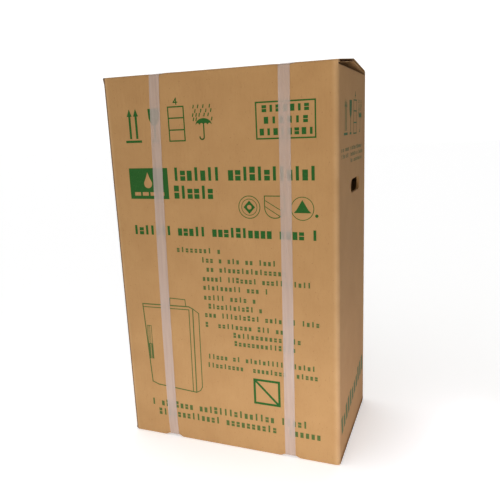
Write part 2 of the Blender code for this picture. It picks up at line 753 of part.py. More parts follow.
def cover_rings(wall, back):
    """The pressed cover's surface, drawn inset by a wall, from its open back to its face."""
    bend = COVER_ROUND - wall
    levels = [(back, wall)]
    for i in range(FOLD_STEPS + 1):
        t = math.radians(90 * i / FOLD_STEPS)
        face = COVER_FACE + wall + bend * (1 - math.sin(t))
        levels.append((face, wall + bend * (1 - math.cos(t))))
    rings = []
    for y, inset in levels:
        x = HEATER_WIDTH / 2 - inset
        low = HEATER_BASE + inset
        high = HEATER_TOP - inset
        rings.append([(-x, y, low), (x, y, low), (x, y, high), (-x, y, high)])
    return rings


def make_casing(enamel, zinc, plastic, heater):
    half = HEATER_WIDTH / 2
    inner = half - SHEET
    front = CASE_FRONT
    floor_cuts = [
        rod("Z", (x, y), FITTING_RADIUS + CLEAR, HEATER_BASE - OVERRUN, CASE_FLOOR + OVERRUN)
        for x, y in ((COLD_X, COLD_Y), (HOT_X, HOT_Y), (GAS_X, MANIFOLD_Y))
    ]
    for i in range(AIR_SLOT_COUNT):
        y = (i - (AIR_SLOT_COUNT - 1) / 2) * AIR_SLOT_PITCH
        slot = round_ended((FAN_X, y), AIR_SLOT_LENGTH, AIR_SLOT_WIDTH, 4)
        floor_cuts.append(prism(slot, "Z", HEATER_BASE - OVERRUN, CASE_FLOOR + OVERRUN))
    case_cuts = [
        block(
            (-inner, front + SHEET, CASE_FLOOR),
            (inner, CASE_BACK - SHEET, HEATER_TOP - SHEET),
        ),
        block(
            (-half + CASE_LIP, front - OVERRUN, HEATER_BASE + CASE_LIP),
            (half - CASE_LIP, front + SHEET + OVERRUN, HEATER_TOP - CASE_LIP),
        ),
        rod("Z", (STACK_X, STACK_Y), HOOD_NECK_RADIUS, HOOD_TOP, HEATER_TOP + OVERRUN),
        *floor_cuts,
    ]
    case = block((-half, front, HEATER_BASE), (half, CASE_BACK, HEATER_TOP))
    make("rear_case", case, zinc, heater, cuts=case_cuts)
    left, right, low, high = window_box()
    cover_back = COVER_FACE + COVER_DEPTH
    cover_cuts = [
        stacked_rings(cover_rings(SHEET, cover_back + OVERRUN)),
        block((left, COVER_FACE - OVERRUN, low), (right, COVER_FACE + OVERRUN, high)),
    ]
    cover = stacked_rings(cover_rings(0, cover_back))
    make("front_cover", cover, enamel, heater, cuts=cover_cuts)
    behind = COVER_FACE + SHEET + CLEAR
    insert = block(
        (left - WINDOW_LIP, behind, low - WINDOW_LIP),
        (right + WINDOW_LIP, behind + WINDOW_DEPTH, high + WINDOW_LIP),
    )
    upper_half = block(
        (left + WINDOW_LIP, behind - OVERRUN, (low + high) / 2),
        (right - WINDOW_LIP, behind + WINDOW_DEPTH - WINDOW_LIP, high - WINDOW_LIP),
    )
    raised = block(
        (left + CLEAR, COVER_FACE, low + CLEAR),
        (right - CLEAR, behind + WINDOW_LIP, (low + high) / 2),
    )
    make("cover_window_insert", insert, plastic, heater, adds=[raised], cuts=[upper_half])
    for name, foot in (
        ("bottom", HEATER_BASE + BRACKET_INSET),
        ("top", HEATER_TOP - BRACKET_INSET - BRACKET_HEIGHT),
    ):
        middle = foot + BRACKET_HEIGHT / 2
        plate = block(
            (-BRACKET_LENGTH / 2, CASE_BACK + CLEAR, foot),
            (BRACKET_LENGTH / 2, HEATER_DEPTH / 2, foot + BRACKET_HEIGHT),
        )
        holes = [
            rod(
                "Y",
                (side * BRACKET_HOLE_SPACING / 2, middle),
                BRACKET_HOLE_RADIUS,
                CASE_BACK - OVERRUN,
                HEATER_DEPTH / 2 + OVERRUN,
                ROUND_SEGMENTS,
            )
            for side in (-1, 1)
        ]
        make("wall_bracket_" + name, plate, zinc, heater, cuts=holes)


def make_vent(aluminium, silicone, heater):
    centre = (STACK_X, STACK_Y)
    flange = COLLAR_RADIUS + COLLAR_FLANGE
    inner = COLLAR_RADIUS - COLLAR_WALL
    seat = HEATER_TOP + CLEAR
    collar_foot = seat + GASKET_THICKNESS + CLEAR
    gasket = [
        (inner, seat),
        (flange, seat),
        (flange, seat + GASKET_THICKNESS),
        (inner, seat + GASKET_THICKNESS),
    ]
    make("vent_gasket", turned(gasket, "Z", centre), silicone, heater)
    collar = [
        (inner, collar_foot),
        (flange, collar_foot),
        (flange, collar_foot + COLLAR_WALL),
        (COLLAR_RADIUS, collar_foot + COLLAR_WALL),
        (COLLAR_RADIUS, HEATER_TOP + COLLAR_HEIGHT),
        (inner, HEATER_TOP + COLLAR_HEIGHT),
    ]
    make("vent_collar", turned(collar, "Z", centre), aluminium, heater)


# Heat exchanger


def superellipse_ring(width, depth, power, height):
    """A ring between a circle, at power 2, and nearly a rectangle, at a high power."""
    ring = []
    for i in range(HOOD_SEGMENTS):
        t = 2 * math.pi * (i + 1 / 2) / HOOD_SEGMENTS
        x = math.copysign(abs(math.cos(t)) ** (2 / power), math.cos(t))
        y = math.copysign(abs(math.sin(t)) ** (2 / power), math.sin(t))
        ring.append((STACK_X + width / 2 * x, STACK_Y + depth / 2 * y, height))
    return ring


def make_hood(steel, heater):
    """Gathers the exhaust from the exchanger's oblong top into the round vent."""
    neck = 2 * HOOD_NECK_RADIUS
    shoulder = HOOD_TOP - HOOD_NECK
    levels = [
        (STACK_WIDTH, STACK_DEPTH, 16, HOOD_FOOT),
        (STACK_WIDTH, STACK_DEPTH, 16, HOOD_FOOT + HOOD_SKIRT),
        ((STACK_WIDTH + neck) / 2, (STACK_DEPTH + neck) / 2, 4, (HOOD_FOOT + HOOD_TOP) / 2),
        (neck, neck, 2, shoulder),
        (neck, neck, 2, HOOD_TOP),
    ]
    outside = [superellipse_ring(*level) for level in levels]
    walls = 2 * STACK_WALL
    inside = [superellipse_ring(w - walls, d - walls, p, h) for w, d, p, h in levels]
    make("flue_hood", stacked_rings(outside + inside[::-1], closed=True), steel, heater)


def oblong(inset, corner):
    """The stack's outline in plan, drawn inset, with rounded corners."""
    outline = []
    for side_x, side_y, first in ((1, 1, 0), (-1, 1, 90), (-1, -1, 180), (1, -1, 270)):
        x = STACK_X + side_x * (STACK_WIDTH / 2 - inset - corner)
        y = STACK_Y + side_y * (STACK_DEPTH / 2 - inset - corner)
        for i in range(FOLD_STEPS + 1):
            t = math.radians(first + 90 * i / FOLD_STEPS)
            outline.append((x + corner * math.cos(t), y + corner * math.sin(t)))
    return outline


def box_tube(foot, top, corner, floor=0.0):
    """The stack's oblong outline, and the cutter that hollows it above its floor."""
    low = foot + floor if floor else foot - OVERRUN
    outer = prism(oblong(0, corner), "Z", foot, top)
    hollow = prism(oblong(STACK_WALL, corner - STACK_WALL), "Z", low, top + OVERRUN)
    return outer, hollow


def make_exchanger(copper, heater):
    outer, hollow = box_tube(EXCHANGER_FOOT, EXCHANGER_TOP, STACK_CORNER)
    hole = WATER_TUBE_RADIUS + CLEAR
    reach = (STACK_LEFT - OVERRUN, STACK_RIGHT + OVERRUN)
    holes = [rod("X", (y, TUBE_Z), hole, *reach, SMALL_SEGMENTS) for y in TUBE_ROWS]
    make("exchanger_jacket", outer, copper, heater, cuts=[hollow, *holes])
    starts = (STACK_LEFT - RISER_STUB, STUB_LEFT, STUB_LEFT)
    tubes = [
        rod("X", (y, TUBE_Z), WATER_TUBE_RADIUS, start, STUB_RIGHT, SMALL_SEGMENTS)
        for y, start in zip(TUBE_ROWS, starts)
    ]
    inset = STACK_WALL + CLEAR
    pitch = (STACK_WIDTH - 2 * inset) / FIN_COUNT
    fins = []
    for i in range(FIN_COUNT):
        x = STACK_LEFT + inset + (i + 1 / 2) * pitch
        fins.append(
            block(
                (x - FIN_THICKNESS / 2, STACK_FRONT + inset, TUBE_Z - FIN_HEIGHT / 2),
                (x + FIN_THICKNESS / 2, STACK_BACK - inset, TUBE_Z + FIN_HEIGHT / 2),
            )
        )
    make("exchanger_fins", fins[0], copper, heater, adds=tubes + fins[1:])
    bends = (("right", STUB_RIGHT + CLEAR, 1, TUBE_ROWS[0]), ("left", STUB_LEFT - CLEAR, -1, STACK_Y))
    for name, x, side, first in bends:
        route = [(x, first, TUBE_Z)]
        for i in range(SMALL_SEGMENTS + 1):
            t = math.pi * i / SMALL_SEGMENTS
            across = first + TUBE_PITCH / 2 * (1 - math.cos(t))
            outwards = TUBE_STUB / 2 + TUBE_PITCH / 2 * math.sin(t)
            route.append((x + side * outwards, across, TUBE_Z))
        route.append((x, first + TUBE_PITCH, TUBE_Z))
        make_pipe("return_bend_" + name, route, WATER_TUBE_RADIUS, copper, heater)


def coil_route():
    """A tail, then turns round the chamber that climb steadily, then a riser."""
    half_x = STACK_WIDTH / 2 + COIL_REACH
    half_y = STACK_DEPTH / 2 + COIL_REACH
    front = STACK_Y - half_y
    left = STACK_X - half_x
    route = [Vector((left - COIL_TAIL, front, COIL_FOOT))]
    turns = []
    arcs = ((1, -1, -90), (1, 1, 0), (-1, 1, 90), (-1, -1, 180))
    per_corner = COIL_STEPS // len(arcs)
    for turn in range(COIL_TURNS):
        for side_x, side_y, first in arcs:
            x = STACK_X + side_x * (half_x - COIL_CORNER)
            y = STACK_Y + side_y * (half_y - COIL_CORNER)
            for i in range(per_corner):
                t = math.radians(first + 90 * i / (per_corner - 1))
                turns.append((x + COIL_CORNER * math.cos(t), y + COIL_CORNER * math.sin(t)))
    turns = turns[: -per_corner]
    lengths = [0.0]
    start = (left + COIL_CORNER, front)
    for before, after in zip([start, *turns], turns):
        lengths.append(lengths[-1] + math.dist(before, after))
    route.append(Vector((*start, COIL_FOOT)))
    for (x, y), length in zip(turns, lengths[1:]):
        climb = (COIL_TOP - COIL_FOOT) * length / lengths[-1]
        route.append(Vector((x, y, COIL_FOOT + climb)))
    last = Vector((left, TUBE_ROWS[0], COIL_TOP))
    riser_top = Vector((RISER_X, TUBE_ROWS[0], TUBE_Z - WATER_TUBE_RADIUS - CLEAR))
    riser_foot = Vector((RISER_X, TUBE_ROWS[0], COIL_TOP + COIL_CORNER))
    above = last + Vector((0, COIL_CORNER, 0))
    bend = [above, (last + riser_foot) / 2 + Vector((0, COIL_CORNER / 6, 0)), riser_foot]
    return route + bend + [riser_top]


def least_gap_of(route, radius):
    """The least gap between stretches of a tube that are well apart along its length."""
    apart = 2 * COIL_CORNER
    lengths = [0.0]
    for before, after in zip(route, route[1:]):
        lengths.append(lengths[-1] + (after - before).length)
    least = math.inf
    for i, first in enumerate(route):
        for j in range(i + 1, len(route)):
            if lengths[j] - lengths[i] > apart:
                least = min(least, (route[j] - first).length - 2 * radius)
    return least


def make_chamber(steel, copper, heater):
    outer, hollow = box_tube(CHAMBER_FOOT, CHAMBER_TOP, COIL_CORNER - COIL_REACH)
    make("combustion_chamber", outer, steel, heater, cuts=[hollow])
    route = coil_route()
    print("least gap of the chamber coil to itself, mm:", least_gap_of(route, COIL_TUBE_RADIUS) * 1000)
    make_pipe("chamber_coil", route, COIL_TUBE_RADIUS, copper, heater)


# Burner


def burner_places():
    return [STACK_X + (i - (BURNER_COUNT - 1) / 2) * BURNER_PITCH for i in range(BURNER_COUNT)]


def make_burner(steel, aluminium, ceramic, plastic, heater):
    outer, hollow = box_tube(BURNER_FOOT, BURNER_TOP, STACK_CORNER, STACK_WALL)
    through = (STACK_FRONT - OVERRUN, STACK_FRONT + STACK_WALL + OVERRUN)
    hole = NOZZLE_RADIUS + CLEAR
    cuts = [hollow]
    cuts += [rod("Y", (x, NOZZLE_Z), hole, *through, SMALL_SEGMENTS) for x in burner_places()]
    electrode_z = BURNER_TOP - ELECTRODE_DROP
    for x in (SPARK_X, FLAME_X):
        cuts.append(rod("Y", (x, electrode_z), ELECTRODE_RADIUS + CLEAR, *through, SMALL_SEGMENTS))
    cuts.append(
        block(
            (OUTLET_LEFT + FAN_WALL, FAN_FRONT + FAN_WALL, BURNER_FOOT - OVERRUN),
            (OUTLET_RIGHT - FAN_WALL, FAN_BACK - FAN_WALL, BURNER_FOOT + STACK_WALL + OVERRUN),
        )
    )
    make("burner_box", outer, steel, heater, cuts=cuts)
    foot = BURNER_FOOT + STACK_WALL + CLEAR
    front = STACK_Y - BURNER_LENGTH / 2
    back = STACK_Y + BURNER_LENGTH / 2
    rack = []
    for x in burner_places():
        shoulder = foot + BURNER_HEIGHT * 2 / 3
        outline = [
            (x - BURNER_WIDTH / 2, foot),
            (x + BURNER_WIDTH / 2, foot),
            (x + BURNER_WIDTH / 2, shoulder),
            (x + BURNER_TOP_WIDTH / 2, foot + BURNER_HEIGHT),
            (x - BURNER_TOP_WIDTH / 2, foot + BURNER_HEIGHT),
            (x - BURNER_WIDTH / 2, shoulder),
        ]
        rack.append(prism(outline, "Y", front, back))
    for near in (front + BURNER_RAIL, back - 2 * BURNER_RAIL):
        ends = (burner_places()[0], burner_places()[-1])
        rack.append(block((ends[0], near, foot), (ends[1], near + BURNER_RAIL, foot + BURNER_RAIL)))
    top = foot + BURNER_HEIGHT
    pitch = BURNER_LENGTH / (PORT_COUNT + 1)
    ports = [
        block(
            (STACK_LEFT, front + (i + 1) * pitch - PORT_WIDTH / 2, top - PORT_DEPTH),
            (STACK_RIGHT, front + (i + 1) * pitch + PORT_WIDTH / 2, top + OVERRUN),
        )
        for i in range(PORT_COUNT)
    ]
    mouths = [
        rod("Y", (x, NOZZLE_Z), NOZZLE_RADIUS, front - OVERRUN, front + BURNER_RAIL / 2, SMALL_SEGMENTS)
        for x in burner_places()
    ]
    make("burner_bars", rack[0], steel, heater, adds=rack[1:], cuts=ports + mouths)
    nozzles = [
        rod("Y", (x, NOZZLE_Z), NOZZLE_RADIUS, MANIFOLD_Y, STACK_FRONT + NOZZLE_REACH, SMALL_SEGMENTS)
        for x in burner_places()
    ]
    ends = (burner_places()[0] - MANIFOLD_OVERHANG, burner_places()[-1] + MANIFOLD_OVERHANG)
    manifold = rod("X", (MANIFOLD_Y, NOZZLE_Z), MANIFOLD_RADIUS, *ends)
    make("gas_manifold", manifold, aluminium, heater, adds=nozzles)
    for name, x in (("spark_electrode", SPARK_X), ("flame_rod", FLAME_X)):
        ends = (STACK_FRONT - ELECTRODE_LENGTH, STACK_FRONT + STACK_WALL)
        shank = rod("Y", (x, electrode_z), ELECTRODE_RADIUS, *ends, SMALL_SEGMENTS)
        tip = STACK_FRONT + ELECTRODE_REACH
        wire = rod("Y", (x, electrode_z), ELECTRODE_ROD_RADIUS, STACK_FRONT, tip, SMALL_SEGMENTS)
        make(name, shank, ceramic, heater, adds=[wire])
    right = STACK_LEFT - CLEAR
    box = block(
        (right - IGNITER_WIDTH, STACK_Y - IGNITER_DEPTH / 2, BURNER_FOOT),
        (right, STACK_Y + IGNITER_DEPTH / 2, BURNER_FOOT + IGNITER_HEIGHT),
    )
    make("igniter_box", box, plastic, heater, bevel=BLOCK_ROUND)


# Fan


def scroll_outline(inset):
    """The housing's spiral and its upright outlet, drawn inset by a wall."""
    outline = []
    tongue = math.acos((OUTLET_LEFT + inset - FAN_X) / (SCROLL_START - inset))
    for i in range(SCROLL_STEPS + 1):
        share = i / SCROLL_STEPS
        t = tongue + share * (2 * math.pi - tongue)
        r = SCROLL_START + (SCROLL_END - SCROLL_START) * share - inset
        outline.append((FAN_X + r * math.cos(t), FAN_Z + r * math.sin(t)))
    top = FAN_TOP + (OVERRUN if inset else 0)
    outline.append((OUTLET_RIGHT - inset, top))
    outline.append((OUTLET_LEFT + inset, top))
    return outline


def make_fan(zinc, plastic, steel, heater):
    hollow = prism(scroll_outline(FAN_WALL), "Y", FAN_FRONT + FAN_WALL, FAN_BACK - FAN_WALL)
    axis = (FAN_X, FAN_Z)
    inlet = rod("Y", axis, FAN_INLET_RADIUS, FAN_FRONT - OVERRUN, FAN_FRONT + FAN_WALL + OVERRUN)
    rear = rod("Y", axis, SHAFT_HOLE_RADIUS, FAN_BACK - FAN_WALL - OVERRUN, FAN_BACK + OVERRUN)
    housing = prism(scroll_outline(0), "Y", FAN_FRONT, FAN_BACK)
    make("fan_housing", housing, zinc, heater, cuts=[hollow, inlet, rear])
    wheel_axle = make_empty("fan_axis", (FAN_X, STACK_Y, FAN_Z))
    front = FAN_FRONT + FAN_WALL + WHEEL_SIDE_PLAY
    back = FAN_BACK - FAN_WALL - WHEEL_SIDE_PLAY
    inner = WHEEL_RADIUS - WHEEL_BLADE_DEPTH
    blades = []
    for i in range(WHEEL_BLADES):
        turn = 2 * math.pi * i / WHEEL_BLADES
        outline = []
        for side in (-1, 1):
            for share in (0, 1 / 2, 1)[::side]:
                r = inner + WHEEL_BLADE_INSET + (WHEEL_BLADE_DEPTH - 2 * WHEEL_BLADE_INSET) * share
                lean = turn + share * share * WHEEL_BLADE_DEPTH / inner
                t = lean + side * WHEEL_BLADE_THICKNESS / 2 / r
                outline.append((FAN_X + r * math.cos(t), FAN_Z + r * math.sin(t)))
        blades.append(prism(outline, "Y", front + WHEEL_LIP / 2, back - WHEEL_DISC / 2))
    bore = SHAFT_RADIUS + CLEAR
    disc = [
        (bore, back),
        (bore, back - HUB_LENGTH),
        (HUB_RADIUS, back - HUB_LENGTH),
        (HUB_RADIUS, back - WHEEL_DISC),
        (WHEEL_RADIUS, back - WHEEL_DISC),
        (WHEEL_RADIUS, back),
    ]
    ring = [
        (inner, front),
        (WHEEL_RADIUS, front),
        (WHEEL_RADIUS, front + WHEEL_LIP),
        (inner, front + WHEEL_LIP),
    ]
    adds = [*blades, turned(ring, "Y", axis)]
    make("fan_wheel", turned(disc, "Y", axis), plastic, wheel_axle, adds=adds)
    shaft = rod("Y", axis, SHAFT_RADIUS, back - HUB_LENGTH, FAN_BACK + SHAFT_IN_MOTOR, SMALL_SEGMENTS)
    make("fan_shaft", shaft, steel, wheel_axle)
    motor_front = FAN_BACK + CLEAR
    motor_back = motor_front + MOTOR_LENGTH
    shell = [
        (bore, motor_front),
        (MOTOR_RADIUS, motor_front),
        (MOTOR_RADIUS, motor_back),
        (MOTOR_BOSS_RADIUS, motor_back),
        (MOTOR_BOSS_RADIUS, motor_back + MOTOR_BOSS_LENGTH),
        (bore, motor_back + MOTOR_BOSS_LENGTH),
    ]
    make("fan_motor", turned(shell, "Y", axis), steel, heater)


# Water and gas


def make_fittings(brass, heater):
    """Three unions that hang below the casing's floor, each with a flange seated on it."""
    seat = CASE_FLOOR + CLEAR
    fittings = (
        ("cold_inlet", COLD_X, COLD_Y),
        ("hot_outlet", HOT_X, HOT_Y),
        ("gas_inlet", GAS_X, MANIFOLD_Y),
    )
    for name, x, y in fittings:
        flange = FITTING_RADIUS + FITTING_FLANGE
        profile = [
            (FITTING_BORE, FITTING_FOOT),
            (FITTING_RADIUS, FITTING_FOOT),
            (FITTING_RADIUS, seat),
            (flange, seat),
            (flange, seat + FITTING_HEX),
            (FITTING_RADIUS, seat + FITTING_HEX),
            (FITTING_RADIUS, FITTING_TOP),
            (FITTING_BORE, FITTING_TOP),
        ]
        make(name, turned(profile, "Z", (x, y)), brass, heater)
    plug_z = FITTING_FOOT + PLUG_HEIGHT
    for name, x, y in (("inlet_filter_plug", COLD_X, COLD_Y), ("drain_plug", HOT_X, HOT_Y)):
        seat_y = y - FITTING_RADIUS - CLEAR
        head = seat_y - PLUG_LENGTH
        profile = [
            (0, seat_y),
            (PLUG_RADIUS, seat_y),
            (PLUG_RADIUS, head),
            (PLUG_RADIUS + PLUG_HEAD, head),
            (PLUG_RADIUS + PLUG_HEAD, head - PLUG_HEAD),
            (0, head - PLUG_HEAD),
        ]
        make(name, turned(profile, "Y", (x, plug_z)), brass, heater)


def spider(low, reach):
    """Arms and a boss that carry one end of the turbine's axle, and the hole for the axle."""
    high = low + SPIDER_THICKNESS
    centre = (COLD_X, COLD_Y)
    pieces = [rod("Z", centre, SPIDER_BOSS, low, high)]
    for i in range(SPIDER_ARMS):
        turn = Matrix.Rotation(2 * math.pi * i / SPIDER_ARMS, 4, "Z")
        arm = block((0, -SPIDER_ARM / 2, low), (reach, SPIDER_ARM / 2, high))
        arm.transform(Matrix.Translation((*centre, 0)) @ turn)
        pieces.append(arm)
    bearing = rod("Z", centre, AXLE_RADIUS + CLEAR, low - OVERRUN, high + OVERRUN, SMALL_SEGMENTS)
    return pieces, bearing


def turbine_outline():
    """Blades round a hub, as one outline."""
    outline = []
    for i in range(TURBINE_BLADES):
        middle = 2 * math.pi * i / TURBINE_BLADES
        valley = math.pi / TURBINE_BLADES
        for r, side in ((TURBINE_HUB, -1), (TURBINE_RADIUS, -1), (TURBINE_RADIUS, 1), (TURBINE_HUB, 1)):
            t = middle + side * TURBINE_BLADE_WIDTH / 2 / r
            outline.append((r * math.cos(t), r * math.sin(t)))
        t = middle + valley
        outline.append((TURBINE_HUB * math.cos(t), TURBINE_HUB * math.sin(t)))
    return outline


def make_flow_sensor(plastic, heater):
    """A turbine spins between two spiders in the cold water."""
    centre = (COLD_X, COLD_Y)
    tube = [
        (SENSOR_BORE, SENSOR_FOOT),
        (SENSOR_RADIUS, SENSOR_FOOT),
        (SENSOR_RADIUS, SENSOR_TOP),
        (SENSOR_BORE, SENSOR_TOP),
    ]
    arms, bearing = spider(SENSOR_FOOT, (SENSOR_BORE + SENSOR_RADIUS) / 2)
    body = turned(tube, "Z", centre)
    make("flow_sensor_body", body, plastic, heater, adds=arms, cuts=[bearing])
    cage_low = SENSOR_TOP - SPIDER_THICKNESS
    rim = SENSOR_BORE - CLEAR
    ring = [
        (rim - CAGE_RIM, cage_low),
        (rim, cage_low),
        (rim, SENSOR_TOP),
        (rim - CAGE_RIM, SENSOR_TOP),
    ]
    arms, bearing = spider(cage_low, rim - CAGE_RIM / 2)
    cage = turned(ring, "Z", centre)
    make("turbine_cage", cage, plastic, heater, adds=arms, cuts=[bearing])
    spin = make_empty("turbine_axis", (*centre, SENSOR_FOOT))
    middle = (SENSOR_FOOT + SENSOR_TOP) / 2
    rings = []
    for i in range(TURBINE_STEPS + 1):
        share = i / TURBINE_STEPS
        turn = Matrix.Rotation(TURBINE_TWIST * share, 2)
        height = middle + (share - 1 / 2) * TURBINE_LENGTH
        ring = [turn @ Vector(p) for p in turbine_outline()]
        rings.append([(COLD_X + p.x, COLD_Y + p.y, height) for p in ring])
    axle = rod("Z", centre, AXLE_RADIUS, SENSOR_FOOT + AXLE_PLAY, SENSOR_TOP - AXLE_PLAY, SMALL_SEGMENTS)
    make("flow_turbine", stacked_rings(rings), plastic, spin, adds=[axle])


def make_pipes(copper, brass, heater):
    front = STACK_FRONT - COIL_REACH
    start = (COLD_X, COLD_Y, SENSOR_TOP + CLEAR)
    end = STACK_LEFT - COIL_REACH - COIL_TAIL - CLEAR
    above = SENSOR_TOP + INLET_PIPE_RISE
    inlet = [
        start,
        (COLD_X, COLD_Y, above),
        (COLD_X, front, above),
        (COLD_X, front, COIL_FOOT),
        (end, front, COIL_FOOT),
    ]
    route = rounded_route(inlet, INLET_PIPE_BEND)
    make_pipe("inlet_pipe", route, INLET_PIPE_RADIUS, copper, heater)
    outlet = [
        (STUB_RIGHT + CLEAR, HOT_Y, TUBE_Z),
        (HOT_X, HOT_Y, TUBE_Z),
        (HOT_X, HOT_Y, FITTING_TOP + CLEAR),
    ]
    route = rounded_route(outlet, INLET_PIPE_BEND)
    make_pipe("outlet_pipe", route, WATER_TUBE_RADIUS, copper, heater)
    seat = HOT_Y - WATER_TUBE_RADIUS - CLEAR
    probe = [
        (0, seat),
        (THERMISTOR_RADIUS, seat),
        (THERMISTOR_RADIUS, seat - THERMISTOR_LENGTH),
        (0, seat - THERMISTOR_LENGTH),
    ]
    thermistor = turned(probe, "Y", (HOT_X, THERMISTOR_HEIGHT), SMALL_SEGMENTS)
    make("outlet_thermistor", thermistor, brass, heater)
    face = STACK_FRONT - CLEAR
    switch = rod("Y", (SWITCH_X, TUBE_Z), SWITCH_RADIUS, face - SWITCH_THICKNESS, face)
    make("overheat_switch", switch, brass, heater)


def make_gas(aluminium, steel, copper, heater):
    low = FITTING_TOP + CLEAR
    top = low + VALVE_HEIGHT
    body = block(
        (GAS_X - VALVE_WIDTH / 2, MANIFOLD_Y - VALVE_DEPTH / 2, low),
        (GAS_X + VALVE_WIDTH / 2, MANIFOLD_Y + VALVE_DEPTH / 2, top),
    )
    seat = MANIFOLD_Y + VALVE_DEPTH / 2 + CLEAR
    middle = (low + top) / 2
    make("gas_valve", body, aluminium, heater, bevel=BLOCK_ROUND)
    for name, side in (("lower", -1), ("upper", 1)):
        z = middle + side * SOLENOID_SPACING / 2
        coil = [
            (0, seat),
            (SOLENOID_RADIUS, seat),
            (SOLENOID_RADIUS, seat + SOLENOID_LENGTH),
            (SOLENOID_RADIUS / 2, seat + SOLENOID_LENGTH),
            (SOLENOID_RADIUS / 2, seat + SOLENOID_LENGTH + VALVE_CAP_LENGTH),
            (0, seat + SOLENOID_LENGTH + VALVE_CAP_LENGTH),
        ]
        make("gas_solenoid_" + name, turned(coil, "Y", (GAS_X, z)), steel, heater)
    route = [(GAS_X, MANIFOLD_Y, top + CLEAR), (GAS_X, MANIFOLD_Y, NOZZLE_Z - MANIFOLD_RADIUS - CLEAR)]
    make_pipe("gas_pipe", [Vector(p) for p in route], INLET_PIPE_RADIUS, copper, heater)


# Electronics


def make_electronics(plastic, green, heater):
    back = CASE_BACK - SHEET - CLEAR
    front = back - TRAY_DEPTH
    low = (TRAY_LEFT, front, TRAY_FOOT)
    high = (TRAY_LEFT + TRAY_WIDTH, back, TRAY_FOOT + TRAY_HEIGHT)
    hollow = block(
        (low[0] + TRAY_WALL, front - OVERRUN, low[2] + TRAY_WALL),
        (high[0] - TRAY_WALL, back - TRAY_WALL, high[2] - TRAY_WALL),
    )
    posts_x = (low[0] + POST_INSET, high[0] - POST_INSET)
    posts_z = (low[2] + POST_INSET, high[2] - POST_INSET)
    board_back = back - TRAY_WALL - POST_HEIGHT - CLEAR
    tray = make("board_tray", block(low, high), plastic, heater, cuts=[hollow])
    for x in posts_x:
        for z in posts_z:
            reach = (board_back + CLEAR, back - TRAY_WALL / 2)
            post = rod("Y", (x, z), POST_RADIUS, *reach, SMALL_SEGMENTS)
            combine(tray, post, "UNION")
    edge = TRAY_WALL + CIRCUIT_BOARD_PLAY
    board_front = board_back - CIRCUIT_BOARD
    board = block(
        (low[0] + edge, board_front, low[2] + edge),
        (high[0] - edge, board_back, high[2] - edge),
    )
    parts = []
    for i in range(RELAY_COUNT):
        z = low[2] + 2 * POST_INSET + i * RELAY_PITCH
        x = low[0] + 2 * POST_INSET
        relay_back = board_front + CIRCUIT_BOARD / 2
        near = (x, board_front - RELAY_DEPTH, z)
        parts.append(block(near, (x + RELAY_WIDTH, relay_back, z + RELAY_HEIGHT)))
    chip_x = high[0] - 2 * POST_INSET - CHIP_WIDTH
    chip_z = (low[2] + high[2]) / 2
    parts.append(
        block(
            (chip_x, board_front - CHIP_DEPTH, chip_z),
            (chip_x + CHIP_WIDTH, board_front + CIRCUIT_BOARD / 2, chip_z + CHIP_HEIGHT),
        )
    )
    make("circuit_board", board, green, heater, adds=parts)
    foot = CASE_FLOOR + TERMINAL_RISE
    terminal = block(
        (TERMINAL_X - TERMINAL_WIDTH / 2, back - TERMINAL_DEPTH, foot),
        (TERMINAL_X + TERMINAL_WIDTH / 2, back, foot + TERMINAL_HEIGHT),
    )
    pitch = TERMINAL_WIDTH / TERMINAL_POLES
    poles = []
    for i in range(TERMINAL_POLES):
        x = TERMINAL_X + (i - (TERMINAL_POLES - 1) / 2) * pitch
        face = back - TERMINAL_DEPTH
        centre = (x, foot + TERMINAL_HEIGHT / 2)
        reach = (face - OVERRUN, face + TERMINAL_POLE_DEPTH)
        poles.append(rod("Y", centre, TERMINAL_POLE_RADIUS, *reach, SMALL_SEGMENTS))
    make("power_terminal", terminal, plastic, heater, cuts=poles)


def main():
    start_empty_scene()
    kraft = finish("kraft board", (0.42, 0.25, 0.115), 0.85)
    film = finish("polypropylene strap", (0.62, 0.52, 0.46), 0.45)
    foam = finish("bead foam", (0.86, 0.87, 0.88), 0.9)
    enamel = finish("white enamel on steel", (0.80, 0.79, 0.75), 0.35)
    zinc = finish("zinc-coated steel", (0.55, 0.57, 0.58), 0.45, 1.0)
    steel = finish("stainless steel", (0.52, 0.52, 0.52), 0.35, 1.0)
    copper = finish("copper", (0.72, 0.36, 0.22), 0.35, 1.0)
    brass = finish("brass", (0.68, 0.50, 0.22), 0.35, 1.0)
    aluminium = finish("cast aluminium", (0.66, 0.67, 0.68), 0.5, 1.0)
    plastic = finish("dark plastic", (0.05, 0.05, 0.055), 0.55)
    silicone = finish("silicone rubber", (0.30, 0.08, 0.05), 0.7)
    ceramic = finish("white ceramic", (0.82, 0.80, 0.76), 0.25)
    green = finish("circuit board", (0.03, 0.20, 0.08), 0.5)
    hinges = {
        "front": make_empty("front_crease", (0, -HALF_DEPTH, CARTON_HEIGHT)),
        "back": make_empty("back_crease", (0, HALF_DEPTH, CARTON_HEIGHT)),
    }
    heater = make_empty("heater", (0, 0, HEATER_BASE))
    make_sleeve(kraft)
    make_top_flaps(kraft, hinges)
    make_inner_flaps(kraft)
    make_bottom_flaps(kraft)
    make_straps(film, hinges)
    make_foam(foam)
    make_casing(enamel, zinc, plastic, heater)
    make_vent(aluminium, silicone, heater)
    make_hood(steel, heater)
    make_exchanger(copper, heater)
    make_chamber(steel, copper, heater)
    make_burner(steel, aluminium, ceramic, plastic, heater)
    make_fan(zinc, plastic, steel, heater)
    make_fittings(brass, heater)
    make_flow_sensor(plastic, heater)
    make_pipes(copper, brass, heater)
    make_gas(aluminium, steel, copper, heater)
    make_electronics(plastic, green, heater)


main()
